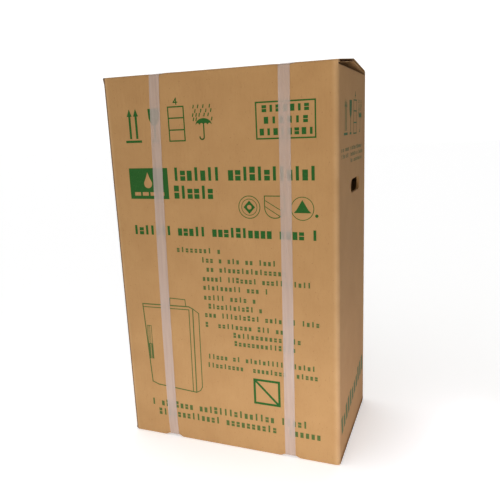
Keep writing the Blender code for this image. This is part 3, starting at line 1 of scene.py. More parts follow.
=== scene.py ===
# %% [markdown]
# A boxed tankless water heater, dressed for the camera.
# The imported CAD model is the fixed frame: it holds every piece at its real size, and it moves. This
# lesson builds the looks round it, one piece at a time. The carton, its flaps and its straps are new
# meshes with rounded creases, dents and print. The heater inside keeps its CAD shapes, and gets
# materials that say what each piece is made of.

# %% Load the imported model
import json
import math
import random

import bmesh
import bpy
import numpy as np
from mathutils import Matrix, Vector
from mathutils.geometry import tessellate_polygon


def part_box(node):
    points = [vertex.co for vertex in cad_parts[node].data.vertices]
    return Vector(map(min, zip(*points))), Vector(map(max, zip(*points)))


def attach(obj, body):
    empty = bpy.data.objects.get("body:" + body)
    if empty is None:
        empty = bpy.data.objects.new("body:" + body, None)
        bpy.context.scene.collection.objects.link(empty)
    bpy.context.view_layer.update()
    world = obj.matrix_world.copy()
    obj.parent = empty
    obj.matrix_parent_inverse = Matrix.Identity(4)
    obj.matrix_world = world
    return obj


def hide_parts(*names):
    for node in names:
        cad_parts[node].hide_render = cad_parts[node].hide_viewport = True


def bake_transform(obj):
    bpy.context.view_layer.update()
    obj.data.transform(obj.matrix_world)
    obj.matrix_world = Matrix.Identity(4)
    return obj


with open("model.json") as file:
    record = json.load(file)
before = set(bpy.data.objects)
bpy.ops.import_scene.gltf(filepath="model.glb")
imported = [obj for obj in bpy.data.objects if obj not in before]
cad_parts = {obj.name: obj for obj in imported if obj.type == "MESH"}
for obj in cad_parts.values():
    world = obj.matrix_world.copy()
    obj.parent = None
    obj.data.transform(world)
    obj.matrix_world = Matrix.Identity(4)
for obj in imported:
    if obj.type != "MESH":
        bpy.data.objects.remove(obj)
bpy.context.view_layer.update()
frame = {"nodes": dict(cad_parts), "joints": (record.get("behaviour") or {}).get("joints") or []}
MM = 0.001

# %% [markdown]
# The camera stands where the photographer stood: a little lower than the carton's top, to its right,
# looking slightly down. Its place, its turn and its lens were worked out from where the carton's
# corners fall in the picture. A hand-held camera is seldom level, so it also leans a little.

# %% Set up the camera
CAMERA_PLACE = (0.3885, -0.9844, 0.6078)
LENS_MM = 38.8
TURN_LEFT = math.radians(21.22)
LOOK_DOWN = math.radians(13.06)
LEAN = math.radians(-2.39)

camera = bpy.data.objects.new("camera", bpy.data.cameras.new("camera"))
bpy.context.scene.collection.objects.link(camera)
camera.data.lens = LENS_MM
camera.matrix_world = (
    Matrix.Translation(CAMERA_PLACE)
    @ Matrix.Rotation(TURN_LEFT, 4, "Z")
    @ Matrix.Rotation(math.pi / 2 - LOOK_DOWN, 4, "X")
    @ Matrix.Rotation(LEAN, 4, "Z")
)
bpy.context.scene.camera = camera
print("camera at", [round(c, 3) for c in camera.location])

# %% [markdown]
# Every colour in this file is written as the hex value a picture editor shows. Blender's shaders want
# linear light instead, so one function turns the one into the other. A second function adds a node to
# any tree, sets its properties, and fills each input with a value or a link.


# %% Colours and nodes
def linear(hex_colour):
    parts = [int(hex_colour[i : i + 2], 16) / 255 for i in (1, 3, 5)]
    light = [p / 12.92 if p <= 0.04045 else ((p + 0.055) / 1.055) ** 2.4 for p in parts]
    return (*light, 1.0)


def add_node(tree, kind, settings=None, inputs=None):
    node = tree.nodes.new(kind)
    for name, value in (settings or {}).items():
        setattr(node, name, value)
    for name, value in (inputs or {}).items():
        if isinstance(value, bpy.types.NodeSocket):
            tree.links.new(value, node.inputs[name])
        else:
            node.inputs[name].default_value = value
    return node


def new_material(name):
    material = bpy.data.materials.new(name)
    material.use_nodes = True
    tree = material.node_tree
    tree.nodes.clear()
    return material, tree


print("kraft paper in linear light:", [round(c, 3) for c in linear("#b98d5b")])

# %% [markdown]
# Corrugated board is two flat sheets of kraft paper, the liners, glued to a wavy sheet between them.
# Kraft is unbleached softwood pulp: warm brown, matt, with long pale and dark fibres that lie mostly
# along the machine direction, and cloudy patches where the pulp was thicker. The wavy sheet shows
# through the liner as faint straight lines, one for each flute. An attribute holds the distance across
# the flutes, so the lines follow each board when it folds. Handling rubs the upright corners pale and
# leaves small dark specks. A thin dark line of painted shade runs down the left front corner, where the
# board turns away from the light.

# %% Sizes and colours of kraft board
FLUTE_ATTRIBUTE = "across_flutes"
FLUTE_PITCH = 7.9 * MM
FLUTE_RELIEF = 0.15 * MM
FIBRE_RELIEF = 0.08 * MM
# How many of each fit in a metre. Real fibres are 0.03 mm wide, and are drawn 1 mm wide to show.
CLOUDS_PER_METRE = 16.0
FIBRES_PER_METRE = 900.0
SPECKS_PER_METRE = 95.0
FIBRE_STRETCH = (1.0, 1.0, 0.12)
# How strongly each one shows, between 0 and 1.
CLOUDS_SHOW = 0.45
FIBRES_SHOW = 0.5
SPECKS_SHOW = 0.45
KRAFT = "#9e774a"
KRAFT_DARK = "#876138"
KRAFT_PALE = "#b28d5c"
FIBRE_DARK = "#6b4a2c"
RUBBED = "#c8a67e"
RUBBED_MOST = 0.5
RUBBED_REACH = (3 * MM, 12 * MM)
# Painted shade: a dark line down the left front corner, where the board turns away from the light.
LEFT_CORNER_SHADE = "#3a281c"
LEFT_CORNER_SHADE_MOST = 0.85
LEFT_CORNER_SHADE_REACH = {"X": 4.6 * MM, "Y": 7.5 * MM}
LEFT_CORNER_SHADE_FADE = 1.6 * MM
CARTON_HALF = dict(zip("XY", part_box("carton_sleeve")[1]))
print("flutes in a metre:", round(1 / FLUTE_PITCH))

# %% [markdown]
# The paper's colour is mixed from the large to the small: cloudy patches of pulp, then fibres, which
# are a noise drawn out upright, then the dark specks, which are the middles of widely spaced cells.


# %% The colour of kraft paper
def paper_colour(tree, place, base, dark, pale):
    """The colour of clean paper, and how strong its clouds and its fibres are at each point."""
    clouds = add_node(
        tree, "ShaderNodeTexNoise", None,
        {"Vector": place, "Scale": CLOUDS_PER_METRE, "Detail": 5.0, "Roughness": 0.6},
    )
    cloudy = add_node(
        tree, "ShaderNodeMix", {"data_type": "RGBA"},
        {0: clouds.outputs["Fac"], 6: linear(dark), 7: linear(pale)},
    )
    soft = add_node(
        tree, "ShaderNodeMix", {"data_type": "RGBA"},
        {0: CLOUDS_SHOW, 6: linear(base), 7: cloudy.outputs[2]},
    )
    stretched = add_node(
        tree, "ShaderNodeMapping", None, {"Vector": place, "Scale": FIBRE_STRETCH}
    )
    fibres = add_node(
        tree, "ShaderNodeTexNoise", None,
        {"Vector": stretched.outputs["Vector"], "Scale": FIBRES_PER_METRE, "Detail": 3.0,
         "Roughness": 0.7},
    )
    fleck = add_node(
        tree, "ShaderNodeMapRange", None,
        {"Value": fibres.outputs["Fac"], "From Min": 0.60, "From Max": 0.78,
         "To Max": FIBRES_SHOW},
    )
    flecked = add_node(
        tree, "ShaderNodeMix", {"data_type": "RGBA"},
        {0: fleck.outputs["Result"], 6: soft.outputs[2], 7: linear(FIBRE_DARK)},
    )
    cells = add_node(
        tree, "ShaderNodeTexVoronoi", None,
        {"Vector": place, "Scale": SPECKS_PER_METRE, "Randomness": 1.0},
    )
    speck = add_node(
        tree, "ShaderNodeMapRange", None,
        {"Value": cells.outputs["Distance"], "From Min": 0.05, "From Max": 0.1,
         "To Min": SPECKS_SHOW, "To Max": 0.0},
    )
    specked = add_node(
        tree, "ShaderNodeMix", {"data_type": "RGBA"},
        {0: speck.outputs["Result"], 6: flecked.outputs[2], 7: linear(FIBRE_DARK)},
    )
    return specked.outputs[2], clouds.outputs["Fac"], fibres.outputs["Fac"]


print("specks:", SPECKS_PER_METRE, "in a metre")

# %% [markdown]
# Wear sits where hands, floors and other cartons touch: on the upright corners. A point is near a
# corner only when it is near two walls, so the larger of its two distances from them says how near.
# The rubbing is patchy where the paper is cloudy. The painted shade is one narrow upright line on the
# left front corner, where the board turns away from the light.


# %% Wear and painted shade on the corners
def worn_and_shaded_colour(tree, place, colour, clouds):
    """The colour with the upright corners rubbed pale, and a line of painted shade down one of them."""
    parts = add_node(tree, "ShaderNodeSeparateXYZ", None, {"Vector": place})
    gaps, edges = [], []
    for axis, half in CARTON_HALF.items():
        size = add_node(tree, "ShaderNodeMath", {"operation": "ABSOLUTE"}, {0: parts.outputs[axis]})
        gap = add_node(
            tree, "ShaderNodeMath", {"operation": "SUBTRACT"}, {0: half, 1: size.outputs[0]}
        )
        # Painted shade mask for each wall: dark near the left wall and near the front wall.
        edge = add_node(
            tree, "ShaderNodeMapRange", {"interpolation_type": "SMOOTHSTEP"},
            {"Value": parts.outputs[axis], "From Min": LEFT_CORNER_SHADE_REACH[axis] - half,
             "From Max": LEFT_CORNER_SHADE_REACH[axis] + LEFT_CORNER_SHADE_FADE - half, "To Min": LEFT_CORNER_SHADE_MOST, "To Max": 0.0},
        )
        gaps.append(gap.outputs[0])
        edges.append(edge.outputs["Result"])
    from_corner = add_node(
        tree, "ShaderNodeMath", {"operation": "MAXIMUM"}, {0: gaps[0], 1: gaps[1]}
    )
    rubbed = add_node(
        tree, "ShaderNodeMapRange", {"interpolation_type": "SMOOTHSTEP"},
        {"Value": from_corner.outputs[0], "From Min": RUBBED_REACH[0], "From Max": RUBBED_REACH[1],
         "To Min": RUBBED_MOST, "To Max": 0.0},
    )
    patchy = add_node(
        tree, "ShaderNodeMath", {"operation": "MULTIPLY"},
        {0: rubbed.outputs["Result"], 1: clouds},
    )
    worn = add_node(
        tree, "ShaderNodeMix", {"data_type": "RGBA"},
        {0: patchy.outputs[0], 6: colour, 7: linear(RUBBED)},
    )
    # Painted shade: the two masks meet only at the left front corner.
    painted_shade = add_node(tree, "ShaderNodeMath", {"operation": "MULTIPLY"}, {0: edges[0], 1: edges[1]})
    shaded_colour = add_node(
        tree, "ShaderNodeMix", {"data_type": "RGBA"},
        {0: painted_shade.outputs[0], 6: worn.outputs[2], 7: linear(LEFT_CORNER_SHADE)},
    )
    return shaded_colour.outputs[2]


print("the scuff reaches", round(LEFT_CORNER_SHADE_REACH["X"] / MM, 1), "mm round the corner on the front")

# %% [markdown]
# The surface is matt, with two reliefs on top of each other: the wide waves of the flutes below the
# liner, and the fine fibres. The wavy sheet itself is the same paper, darker because it lies in shade.


# %% Kraft board material
def kraft_material(name, base, dark, pale, flute_strength=0.35):
    material, tree = new_material(name)
    place = add_node(tree, "ShaderNodeTexCoord").outputs["Object"]
    clean, clouds, fibres = paper_colour(tree, place, base, dark, pale)
    colour = worn_and_shaded_colour(tree, place, clean, clouds)
    across = add_node(
        tree, "ShaderNodeAttribute", {"attribute_name": FLUTE_ATTRIBUTE}
    ).outputs["Fac"]
    turns = add_node(
        tree, "ShaderNodeMath", {"operation": "MULTIPLY"}, {0: across, 1: math.tau / FLUTE_PITCH}
    )
    wave = add_node(tree, "ShaderNodeMath", {"operation": "SINE"}, {0: turns.outputs[0]})
    flute_bump = add_node(
        tree, "ShaderNodeBump", None,
        {"Strength": flute_strength, "Distance": FLUTE_RELIEF, "Height": wave.outputs[0]},
    )
    fibre_bump = add_node(
        tree, "ShaderNodeBump", None,
        {"Strength": 0.35, "Distance": FIBRE_RELIEF, "Height": fibres,
         "Normal": flute_bump.outputs["Normal"]},
    )
    surface = add_node(
        tree, "ShaderNodeBsdfPrincipled", None,
        {"Base Color": colour, "Roughness": 0.82, "IOR": 1.45,
         "Specular IOR Level": 0.3, "Normal": fibre_bump.outputs["Normal"]},
    )
    add_node(tree, "ShaderNodeOutputMaterial", None, {"Surface": surface.outputs["BSDF"]})
    return material


kraft = kraft_material("kraft_liner", KRAFT, KRAFT_DARK, KRAFT_PALE)
kraft_core = kraft_material("kraft_fluting_paper", "#6a4828", "#52371d", "#7d5a34", 0.0)
print("materials:", kraft.name, kraft_core.name)

# %% [markdown]
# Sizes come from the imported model, never from a ruler held to the screen. The sleeve's box gives the
# carton's width and depth, the joints give the height of the two creases that the outer flaps turn
# on, and an inner flap's thickness is the board's.

# %% Read the carton's sizes
sleeve_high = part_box("carton_sleeve")[1]
inner_low, inner_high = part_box("top_flap_right")
ridge_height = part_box("top_flap_front")[1].z
HALF_WIDTH = sleeve_high.x
HALF_DEPTH = sleeve_high.y
BOARD = inner_high.z - inner_low.z
creases = {j["child"]: j["pos_m"] for j in frame["joints"]}
CREASE_HEIGHT = creases["front_flap"][2]
SEAM_HALF = -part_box("top_flap_front")[1].y
INNER_FLAP_END = inner_low.x
CREASE_ROUND = 6.5 * MM
print("half width", HALF_WIDTH, "half depth", HALF_DEPTH, "board", round(BOARD, 4))

# %% [markdown]
# Two straps run round the carton from front to back. A strap that is pulled tight presses the board in
# where it turns over an edge, and the photograph shows these dents best at the bottom edge. So the
# straps' lines are set before the board, because the board's shape depends on them.
# The straps were put on by hand and lean a little: each line passes through a place at the foot, one
# half-way up and one at the top crease.

# %% Where the straps run
STRAP_WIDTH = 20 * MM
STRAP_THICKNESS = 0.8 * MM
STRAP_LINES = {
    "left": (-123.5 * MM, -120.0 * MM, -108.0 * MM),
    "right": (120.8 * MM, 123.5 * MM, 126.5 * MM),
}
DENT_TOP = 2.8 * MM
DENT_FOOT = {"left": 8.5 * MM, "right": 5.6 * MM}
DENT_SHOULDER = 4.5 * MM
DENT_REACH = 17 * MM


def strap_x(side, height):
    """Where a strap's middle line runs at a height: the parabola through its three places."""
    foot, middle, top = STRAP_LINES[side]
    share = min(max(height / CREASE_HEIGHT, 0.0), 1.0)
    return (
        foot * (1 - share) * (1 - 2 * share) + middle * 4 * share * (1 - share)
        + top * share * (2 * share - 1)
    )


def strap_press(x, height_from_edge, at_top):
    """How far a strap has pushed the edge in, at x along the edge and so far from it."""
    deepest = 0.0
    for side in STRAP_LINES:
        line = strap_x(side, CREASE_HEIGHT if at_top else 0.0)
        beside = max(abs(x - line) - STRAP_WIDTH / 2, 0.0) / DENT_SHOULDER
        depth = DENT_TOP if at_top else DENT_FOOT[side]
        reach = math.exp(-height_from_edge / DENT_REACH)
        deepest = max(deepest, depth * math.exp(-(beside**2)) * reach)
    return deepest


print("left strap at top and foot:", strap_x("left", 0.7), strap_x("left", 0.0))

# %% [markdown]
# A loaded carton's walls are never flat. The middle of each panel sinks a little, and slow ripples run
# over it, while the vertical creases stay straight because they are the stiffest lines of the box. One
# function says how far any point of a wall has sunk, and everything that lies on a wall asks it: the
# board, the print and the straps. A hair's breadth is always left for the ink.

# %% How far each wall sinks
DISH = {"front": 1.6 * MM, "back": 1.6 * MM, "right": 1.2 * MM, "left": 1.2 * MM}
RIPPLE = 0.35 * MM
WAVES = 5
WAVE_ALONG = (9, 26)
WAVE_UP = (6, 20)
PRINT_ROOM = 0.13 * MM
PRINT_ROOM_FROM = 0.1
PRESS_TOP = 0.8
PRESS_FOOT = 0.5
ripple_dice = random.Random(11)
RIPPLES = {
    wall: [
        tuple(ripple_dice.uniform(*limits) for limits in (WAVE_ALONG, WAVE_UP, (0, math.tau)))
        for _ in range(WAVES)
    ]
    for wall in DISH
}


def wall_span(wall):
    return HALF_WIDTH if wall in ("front", "back") else HALF_DEPTH


def sink(wall, along, height):
    """How far a wall's outer face lies inside its flat plane."""
    across = math.cos(math.pi / 2 * min(abs(along) / (wall_span(wall) - CREASE_ROUND), 1.0))
    upright = math.sin(math.pi * min(max(height / CREASE_HEIGHT, 0.0), 1.0))
    ripple = sum(math.sin(a * along + b * height + c) for a, b, c in RIPPLES[wall]) / WAVES
    sunk = DISH[wall] * across * upright + RIPPLE * (1 + ripple) * across * upright
    sunk += PRINT_ROOM * min(across / PRINT_ROOM_FROM, 1.0)
    if wall in ("front", "back"):
        sunk += PRESS_TOP * strap_press(along, CREASE_HEIGHT - height, True)
        sunk += PRESS_FOOT * strap_press(along, height, False)
    return sunk


print("front wall sinks at its middle by", round(sink("front", 0.0, 0.35) / MM, 2), "mm")

# %% [markdown]
# Every piece made here is a mesh from points and faces. Its normals all point outwards, its gentle bends
# are shaded smooth and its edges sharp. It keeps its object at the origin, so its place is in its
# points. Board can also carry the distance across its flutes, and faces that show the wavy sheet.

# %% Make a mesh from points and faces
SMOOTH_BELOW = math.radians(40)


def make_mesh(name, points, faces, material, across=None, core=()):
    mesh = bpy.data.meshes.new(name)
    mesh.from_pydata([tuple(p) for p in points], [], faces)
    if across is not None:
        flute = mesh.attributes.new(FLUTE_ATTRIBUTE, "FLOAT", "POINT")
        flute.data.foreach_set("value", np.asarray(across, np.float32))
    shape = bmesh.new()
    shape.from_mesh(mesh)
    bmesh.ops.recalc_face_normals(shape, faces=shape.faces)
    for face in shape.faces:
        face.smooth = True
    for edge in shape.edges:
        edge.smooth = len(edge.link_faces) == 2 and edge.calc_face_angle(0) < SMOOTH_BELOW
    shape.to_mesh(mesh)
    shape.free()
    mesh.materials.append(material)
    if core:
        mesh.materials.append(kraft_core)
        for k in core:
            mesh.polygons[k].material_index = 1
    piece = bpy.data.objects.new(name, mesh)
    bpy.context.scene.collection.objects.link(piece)
    return piece


print("edges are sharp above", round(math.degrees(SMOOTH_BELOW)), "degrees")

# %% [markdown]
# All boards are made the same way. A grid of points gives the outer face, a second grid with the same
# rows and columns gives the inner face, and the two are joined round their borders into one closed
# solid.


# %% Turn two grids into one closed board
def slab(outer, inner, skipped=()):
    """Points and faces of a closed solid between two grids. Skipped cells are left open."""
    rows, columns = len(outer), len(outer[0])
    points = [p for row in outer for p in row] + [p for row in inner for p in row]
    under = rows * columns
    faces = []
    for j in range(rows - 1):
        for i in range(columns - 1):
            if (j, i) in skipped:
                continue
            a = j * columns + i
            faces.append((a, a + 1, a + columns + 1, a + columns))
            faces.append((under + a, under + a + columns, under + a + columns + 1, under + a + 1))
    border = list(range(columns))
    border += [j * columns + columns - 1 for j in range(1, rows)]
    border += [(rows - 1) * columns + i for i in range(columns - 2, -1, -1)]
    border += [j * columns for j in range(rows - 2, 0, -1)]
    for here, there in zip(border, border[1:] + border[:1]):
        faces.append((here, under + here, under + there, there))
    return points, faces


def between(low, high, count):
    return [low + (high - low) * k / (count - 1) for k in range(count)]


print("a slab of 3 by 4 points has", len(slab(np.zeros((3, 4, 3)), np.zeros((3, 4, 3)))[1]), "faces")

# %% [markdown]
# A flap's cut sides show, so a flap has three layers: liner, middle and liner. The middle ends short of
# the two liners, because the hollows between the flutes look dark from outside.

# %% Boards in three layers
LINER_SHARE = 0.13
CORE_SHARE = LINER_SHARE * 0.95
CORE_RECESS = 8 * MM
EVENED_SHARE = 1.2


def grid_mix(outer, inner, share):
    return [[a.lerp(b, share) for a, b in zip(*rows)] for rows in zip(outer, inner)]


def drawn_in(line, depth):
    """The line with its first point moved in by depth, and the next few spaced evenly after it."""
    reach = [0.0]
    for here, there in zip(line, line[1:]):
        reach.append(reach[-1] + (there - here).length)
    free = next(i for i, gone in enumerate(reach) if gone > EVENED_SHARE * depth)
    start = []
    for i in range(free):
        wanted = depth + (reach[free] - depth) * i / free
        k = next(k for k in range(free) if reach[k + 1] >= wanted)
        start.append(line[k].lerp(line[k + 1], (wanted - reach[k]) / (reach[k + 1] - reach[k])))
    return start + list(line[free:])


def drawn_back(rows, depth):
    """The grid with its last row and both its side columns, the cut sides, drawn in."""
    lines = [drawn_in(line[::-1], depth)[::-1] for line in zip(*rows)]
    return [drawn_in(drawn_in(row, depth)[::-1], depth)[::-1] for row in zip(*lines)]


def layered_board(outer, inner):
    """Points and faces of liner, core and liner, each a closed solid, and the core's faces."""
    layers = [
        slab(outer, grid_mix(outer, inner, LINER_SHARE)),
        slab(*(drawn_back(grid_mix(outer, inner, share), CORE_RECESS)
               for share in (CORE_SHARE, 1 - CORE_SHARE))),
        slab(grid_mix(outer, inner, 1 - LINER_SHARE), inner),
    ]
    points, faces, starts = [], [], []
    for layer_points, layer_faces in layers:
        starts.append(len(faces))
        faces += [tuple(len(points) + i for i in face) for face in layer_faces]
        points += layer_points
    return points, faces, range(starts[1], starts[2])


print("the middle ends", round(CORE_RECESS / MM), "mm short of the liners")

# %% [markdown]
# The sleeve is one strip of board, creased into four panels and glued where its ends meet. The strip
# starts at the back panel's cut edge, goes round all four walls, and ends in a tab that is glued to
# the inside of the back panel. Its vertical creases are rounded, because a liner can't turn sharply.
# A list of stations round the plan, each with its place, its outward direction and its wall, is all
# that the grid needs. The same list, drawn one board's thickness further in, gives the inner face.

# %% The plan of the sleeve
INNER_ROUND = 1.5 * MM
TAB_WIDTH = 34 * MM
TAB_PLAY = 0.3 * MM
WALL_STEP = 6.5 * MM
CORNER_STATIONS = 7
TAB_Y = HALF_DEPTH - BOARD - TAB_PLAY


def corner_stations(centre, radius, start_deg):
    """Stations round a quarter turn, clockwise seen from above."""
    stations = []
    for k in range(CORNER_STATIONS):
        turn = math.radians(start_deg - 90 * k / (CORNER_STATIONS - 1))
        out = Vector((math.cos(turn), math.sin(turn), 0))
        stations.append((centre + out * radius, out, "corner"))
    return stations


def wall_stations(wall, start, end, out):
    steps = round(2 * wall_span(wall) / WALL_STEP)
    return [(start.lerp(end, k / steps), out, wall) for k in range(1, steps)]


def sleeve_plan(inset, r):
    """Stations (place, outward, wall) from the back panel's cut edge round to the glue tab."""
    right, back, tab = HALF_WIDTH - inset, HALF_DEPTH - inset, TAB_Y - inset
    left, front = -right, -back
    north, east, south, west = (Vector(v) for v in ((0, 1, 0), (1, 0, 0), (0, -1, 0), (-1, 0, 0)))
    cut_edge = Vector((-HALF_WIDTH, back, 0))
    plan = [(cut_edge, north, "back")]
    plan += wall_stations("back", cut_edge, Vector((right - r, back, 0)), north)
    plan += corner_stations(Vector((right - r, back - r, 0)), r, 90)
    plan += wall_stations("right", Vector((right, back - r, 0)), Vector((right, front + r, 0)), east)
    plan += corner_stations(Vector((right - r, front + r, 0)), r, 0)
    plan += wall_stations("front", Vector((right - r, front, 0)), Vector((left + r, front, 0)), south)
    plan += corner_stations(Vector((left + r, front + r, 0)), r, -90)
    plan += wall_stations("left", Vector((left, front + r, 0)), Vector((left, tab - r, 0)), west)
    plan += corner_stations(Vector((left + r, tab - r, 0)), r, 180)
    plan += [(Vector((left + r + TAB_WIDTH * k / 3, tab, 0)), north, "tab") for k in (1, 2, 3)]
    return plan


outer_plan = sleeve_plan(0.0, CREASE_ROUND)
inner_plan = sleeve_plan(BOARD, INNER_ROUND)
print("stations round the sleeve:", len(outer_plan), len(inner_plan))

# %% [markdown]
# The grid's rows run from the foot to the top. The front and back walls stop just short of their
# creases, where other pieces carry on: the outer flaps at the top, which turn, and the bottom flaps.
# The side walls stop a board's thickness lower, because the inner flaps fold over before the outer
# ones. Between them the board is slotted, and the slot shows as a small dark notch at each corner.

# %% The sleeve's grid
WALL_ROWS = 104
FRONT_ENDS = (6.0 * MM, CREASE_HEIGHT - 12 * MM)
CORNER_ENDS = (4.0 * MM, CREASE_HEIGHT - 7 * MM)
SIDE_ENDS = (11.5 * MM, CREASE_HEIGHT - 11.5 * MM)
SLOT_ENDS = (14 * MM, CREASE_HEIGHT - 16 * MM)
SLOT_WIDTH = 5 * MM
WALL_ENDS = {
    "front": FRONT_ENDS, "back": FRONT_ENDS, "corner": CORNER_ENDS,
    "left": SIDE_ENDS, "right": SIDE_ENDS, "tab": SIDE_ENDS,
}


def station_ends(place, wall):
    in_slot = wall in ("left", "right") and HALF_DEPTH - CREASE_ROUND - abs(place.y) < SLOT_WIDTH
    return SLOT_ENDS if in_slot else WALL_ENDS[wall]


def along_wall(place, wall):
    return place.x if wall in ("front", "back") else place.y


def sleeve_grid(plan):
    rows = []
    for j in range(WALL_ROWS):
        row = []
        for (place, out, wall), (over, _, _) in zip(plan, outer_plan):
            low, high = station_ends(over, wall)
            height = low + (high - low) * j / (WALL_ROWS - 1)
            sunk = sink(wall, along_wall(over, wall), height) if wall in DISH else 0.0
            row.append(place - out * sunk + Vector((0, 0, height)))
        rows.append(row)
    return rows


outer_rows, inner_rows = sleeve_grid(outer_plan), sleeve_grid(inner_plan)
print("sleeve grid:", len(outer_rows), "rows of", len(outer_rows[0]))

# %% [markdown]
# Each side wall has a hand hole, a long slot with round ends that is stamped out of the board. To cut
# it without spoiling the even grid, the cells round it are left open, and the open block's border is
# joined to the slot's outline by a ring of faces. Each border point looks towards the hole's centre
# and takes the outline point that it sees.

# %% Cut the hand holes
HOLE_CENTRE = Vector((0, 24 * MM, 492.5 * MM))
HOLE_HALF_LENGTH = 42 * MM
HOLE_HALF_HEIGHT = 12.5 * MM
HOLE_MARGIN = 9 * MM
HALVINGS = 30


def slot_distance(y, z):
    """Distance of a point from the outline, less than zero inside."""
    end = HOLE_HALF_LENGTH - HOLE_HALF_HEIGHT
    return math.hypot(max(abs(y) - end, 0.0), z) - HOLE_HALF_HEIGHT


def outline_seen_from(point):
    """The outline point between the hole's centre and this one, as a share of the way out."""
    inside, outside = 0.0, 1.0
    for _ in range(HALVINGS):
        middle = (inside + outside) / 2
        y, z = (point.y - HOLE_CENTRE.y) * middle, (point.z - HOLE_CENTRE.z) * middle
        inside, outside = (middle, outside) if slot_distance(y, z) < 0 else (inside, middle)
    return inside


def hole_block(wall):
    """First and last rows and columns of the cells that the hole opens."""
    columns = [i for i, (p, _, w) in enumerate(outer_plan)
               if w == wall and abs(p.y - HOLE_CENTRE.y) < HOLE_HALF_LENGTH + HOLE_MARGIN]
    rows = [j for j in range(WALL_ROWS)
            if abs(outer_rows[j][columns[0]].z - HOLE_CENTRE.z) < HOLE_HALF_HEIGHT + HOLE_MARGIN]
    return rows[0], rows[-1], columns[0], columns[-1]


def cut_hole(points, faces, block):
    j0, j1, i0, i1 = block
    columns = len(outer_plan)
    under = WALL_ROWS * columns
    loop = [(j0, i) for i in range(i0, i1)] + [(j, i1) for j in range(j0, j1)]
    loop += [(j1, i) for i in range(i1, i0, -1)] + [(j, i0) for j in range(j1, j0, -1)]
    first = len(points)
    for rows in (outer_rows, inner_rows):
        for j, i in loop:
            border = rows[j][i]
            centre = Vector((border.x, HOLE_CENTRE.y, HOLE_CENTRE.z))
            points.append(centre.lerp(border, outline_seen_from(border)))
    count = len(loop)
    for k in range(count):
        n = (k + 1) % count
        here, there = loop[k][0] * columns + loop[k][1], loop[n][0] * columns + loop[n][1]
        outline, outline_next = first + k, first + n
        faces.append((here, there, outline_next, outline))
        faces.append((under + here, outline + count, outline_next + count, under + there))
        faces.append((outline, outline_next, outline_next + count, outline + count))


hole_blocks = [hole_block("right"), hole_block("left")]
open_cells = {
    (j, i)
    for j0, j1, i0, i1 in hole_blocks
    for j in range(j0, j1)
    for i in range(i0, i1)
}
sleeve_points, sleeve_faces = slab(outer_rows, inner_rows, open_cells)
for block in hole_blocks:
    cut_hole(sleeve_points, sleeve_faces, block)
print("sleeve points", len(sleeve_points), "faces", len(sleeve_faces), "hole blocks", hole_blocks)

# %% [markdown]
# The flutes stand upright in all four walls, so the distance across them is the distance round the
# plan. A wall's own x or y does for that, because no flute crosses a crease.

# %% Make the sleeve
DIAGONAL = HALF_WIDTH - HALF_DEPTH
sleeve_across = [p.x if abs(p.y) > abs(p.x) - DIAGONAL else p.y for p in sleeve_points]
sleeve = make_mesh("carton_sleeve_board", sleeve_points, sleeve_faces, kraft, sleeve_across)
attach(sleeve, "root")
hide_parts("carton_sleeve")
print("sleeve faces:", len(sleeve.data.polygons))

# %% [markdown]
# A flap and its crease are drawn by their cross-section. The outer face leaves the wall, turns over a
# small round and runs on along the flap. The inner face turns a sharp corner, because the board is
# crushed there. Each point of the section is a pair: how far in from the wall's plane, and how high.
# Each has an outward direction too, so that a strap's dent can press it in and a strap can lie on it.

# %% The cross-section of a folded board
WALL_POINTS = 3
TURN_POINTS = 8
FLAT_FROM = WALL_POINTS + TURN_POINTS + 1


def folded_section(wall_end, fold, run_angle, run_length, fold_round, first_run, step):
    """Outer points, outward directions and inner points of a board that folds off a wall at fold."""
    to_fold = (fold - wall_end).normalized()
    along_run = Vector((math.cos(run_angle), math.sin(run_angle)))
    turn = to_fold.angle(along_run)
    reach = fold_round * math.tan(turn / 2)
    wall_out, inward = Vector((-1, 0)), Vector((1, 0))
    run_out = Vector((-along_run.y, along_run.x)) * (1 if to_fold.y > 0 else -1)
    centre = fold - to_fold * reach + inward * fold_round
    outer, out = [], []
    for k in range(WALL_POINTS):
        outer.append(wall_end.lerp(fold - to_fold * reach, k / WALL_POINTS))
        out.append(wall_out)
    for k in range(TURN_POINTS + 1):
        direction = wall_out.slerp(run_out, k / TURN_POINTS)
        outer.append(centre + direction * fold_round)
        out.append(direction)
    steps = max(2, round((run_length - first_run) / step))
    outer.append(fold + along_run * (first_run + reach) / 2)
    outer += [fold + along_run * (first_run + (run_length - first_run) * k / steps)
              for k in range(steps + 1)]
    out += [run_out] * (steps + 2)
    corner_height = fold.y - run_out.y * BOARD / abs(along_run.x) + BOARD * math.tan(run_angle)
    inside_corner = Vector((BOARD, corner_height))
    inner = [Vector((BOARD, point.y)) for point in outer[:WALL_POINTS]]
    last_wall, first_flap = inner[-1], outer[FLAT_FROM] - run_out * BOARD
    half = TURN_POINTS // 2
    for k in range(TURN_POINTS + 1):
        if k <= half:
            inner.append(last_wall.lerp(inside_corner, (k + 1) / (half + 1)))
        else:
            inner.append(inside_corner.lerp(first_flap, (k - half) / (half + 1)))
    inner += [point - run_out * BOARD for point in outer[FLAT_FROM:]]
    return outer, out, inner


TENT_SLOPE = math.atan2(ridge_height - CREASE_HEIGHT, HALF_DEPTH - SEAM_HALF)
FOLD_ROUND = 3.5 * MM
CREASE_END = 13 * MM
CREASE_POINTS = FLAT_FROM + 2
TOP_STEP = 5 * MM
outer_top, out_top, inner_top = folded_section(
    Vector((0, FRONT_ENDS[1])), Vector((0, CREASE_HEIGHT)), TENT_SLOPE,
    (HALF_DEPTH - SEAM_HALF) / math.cos(TENT_SLOPE), FOLD_ROUND, CREASE_END, TOP_STEP,
)
print("section points over the top crease:", len(outer_top), "outside,", len(inner_top), "inside")

# %% [markdown]
# The same section serves the front and the back. A grid of a flap has one row for each point of the
# section and one column for each place along the crease. Near its ends the crease also follows the
# rounded corner of the sleeve, so that the top corner of the carton is soft, as in the photograph.

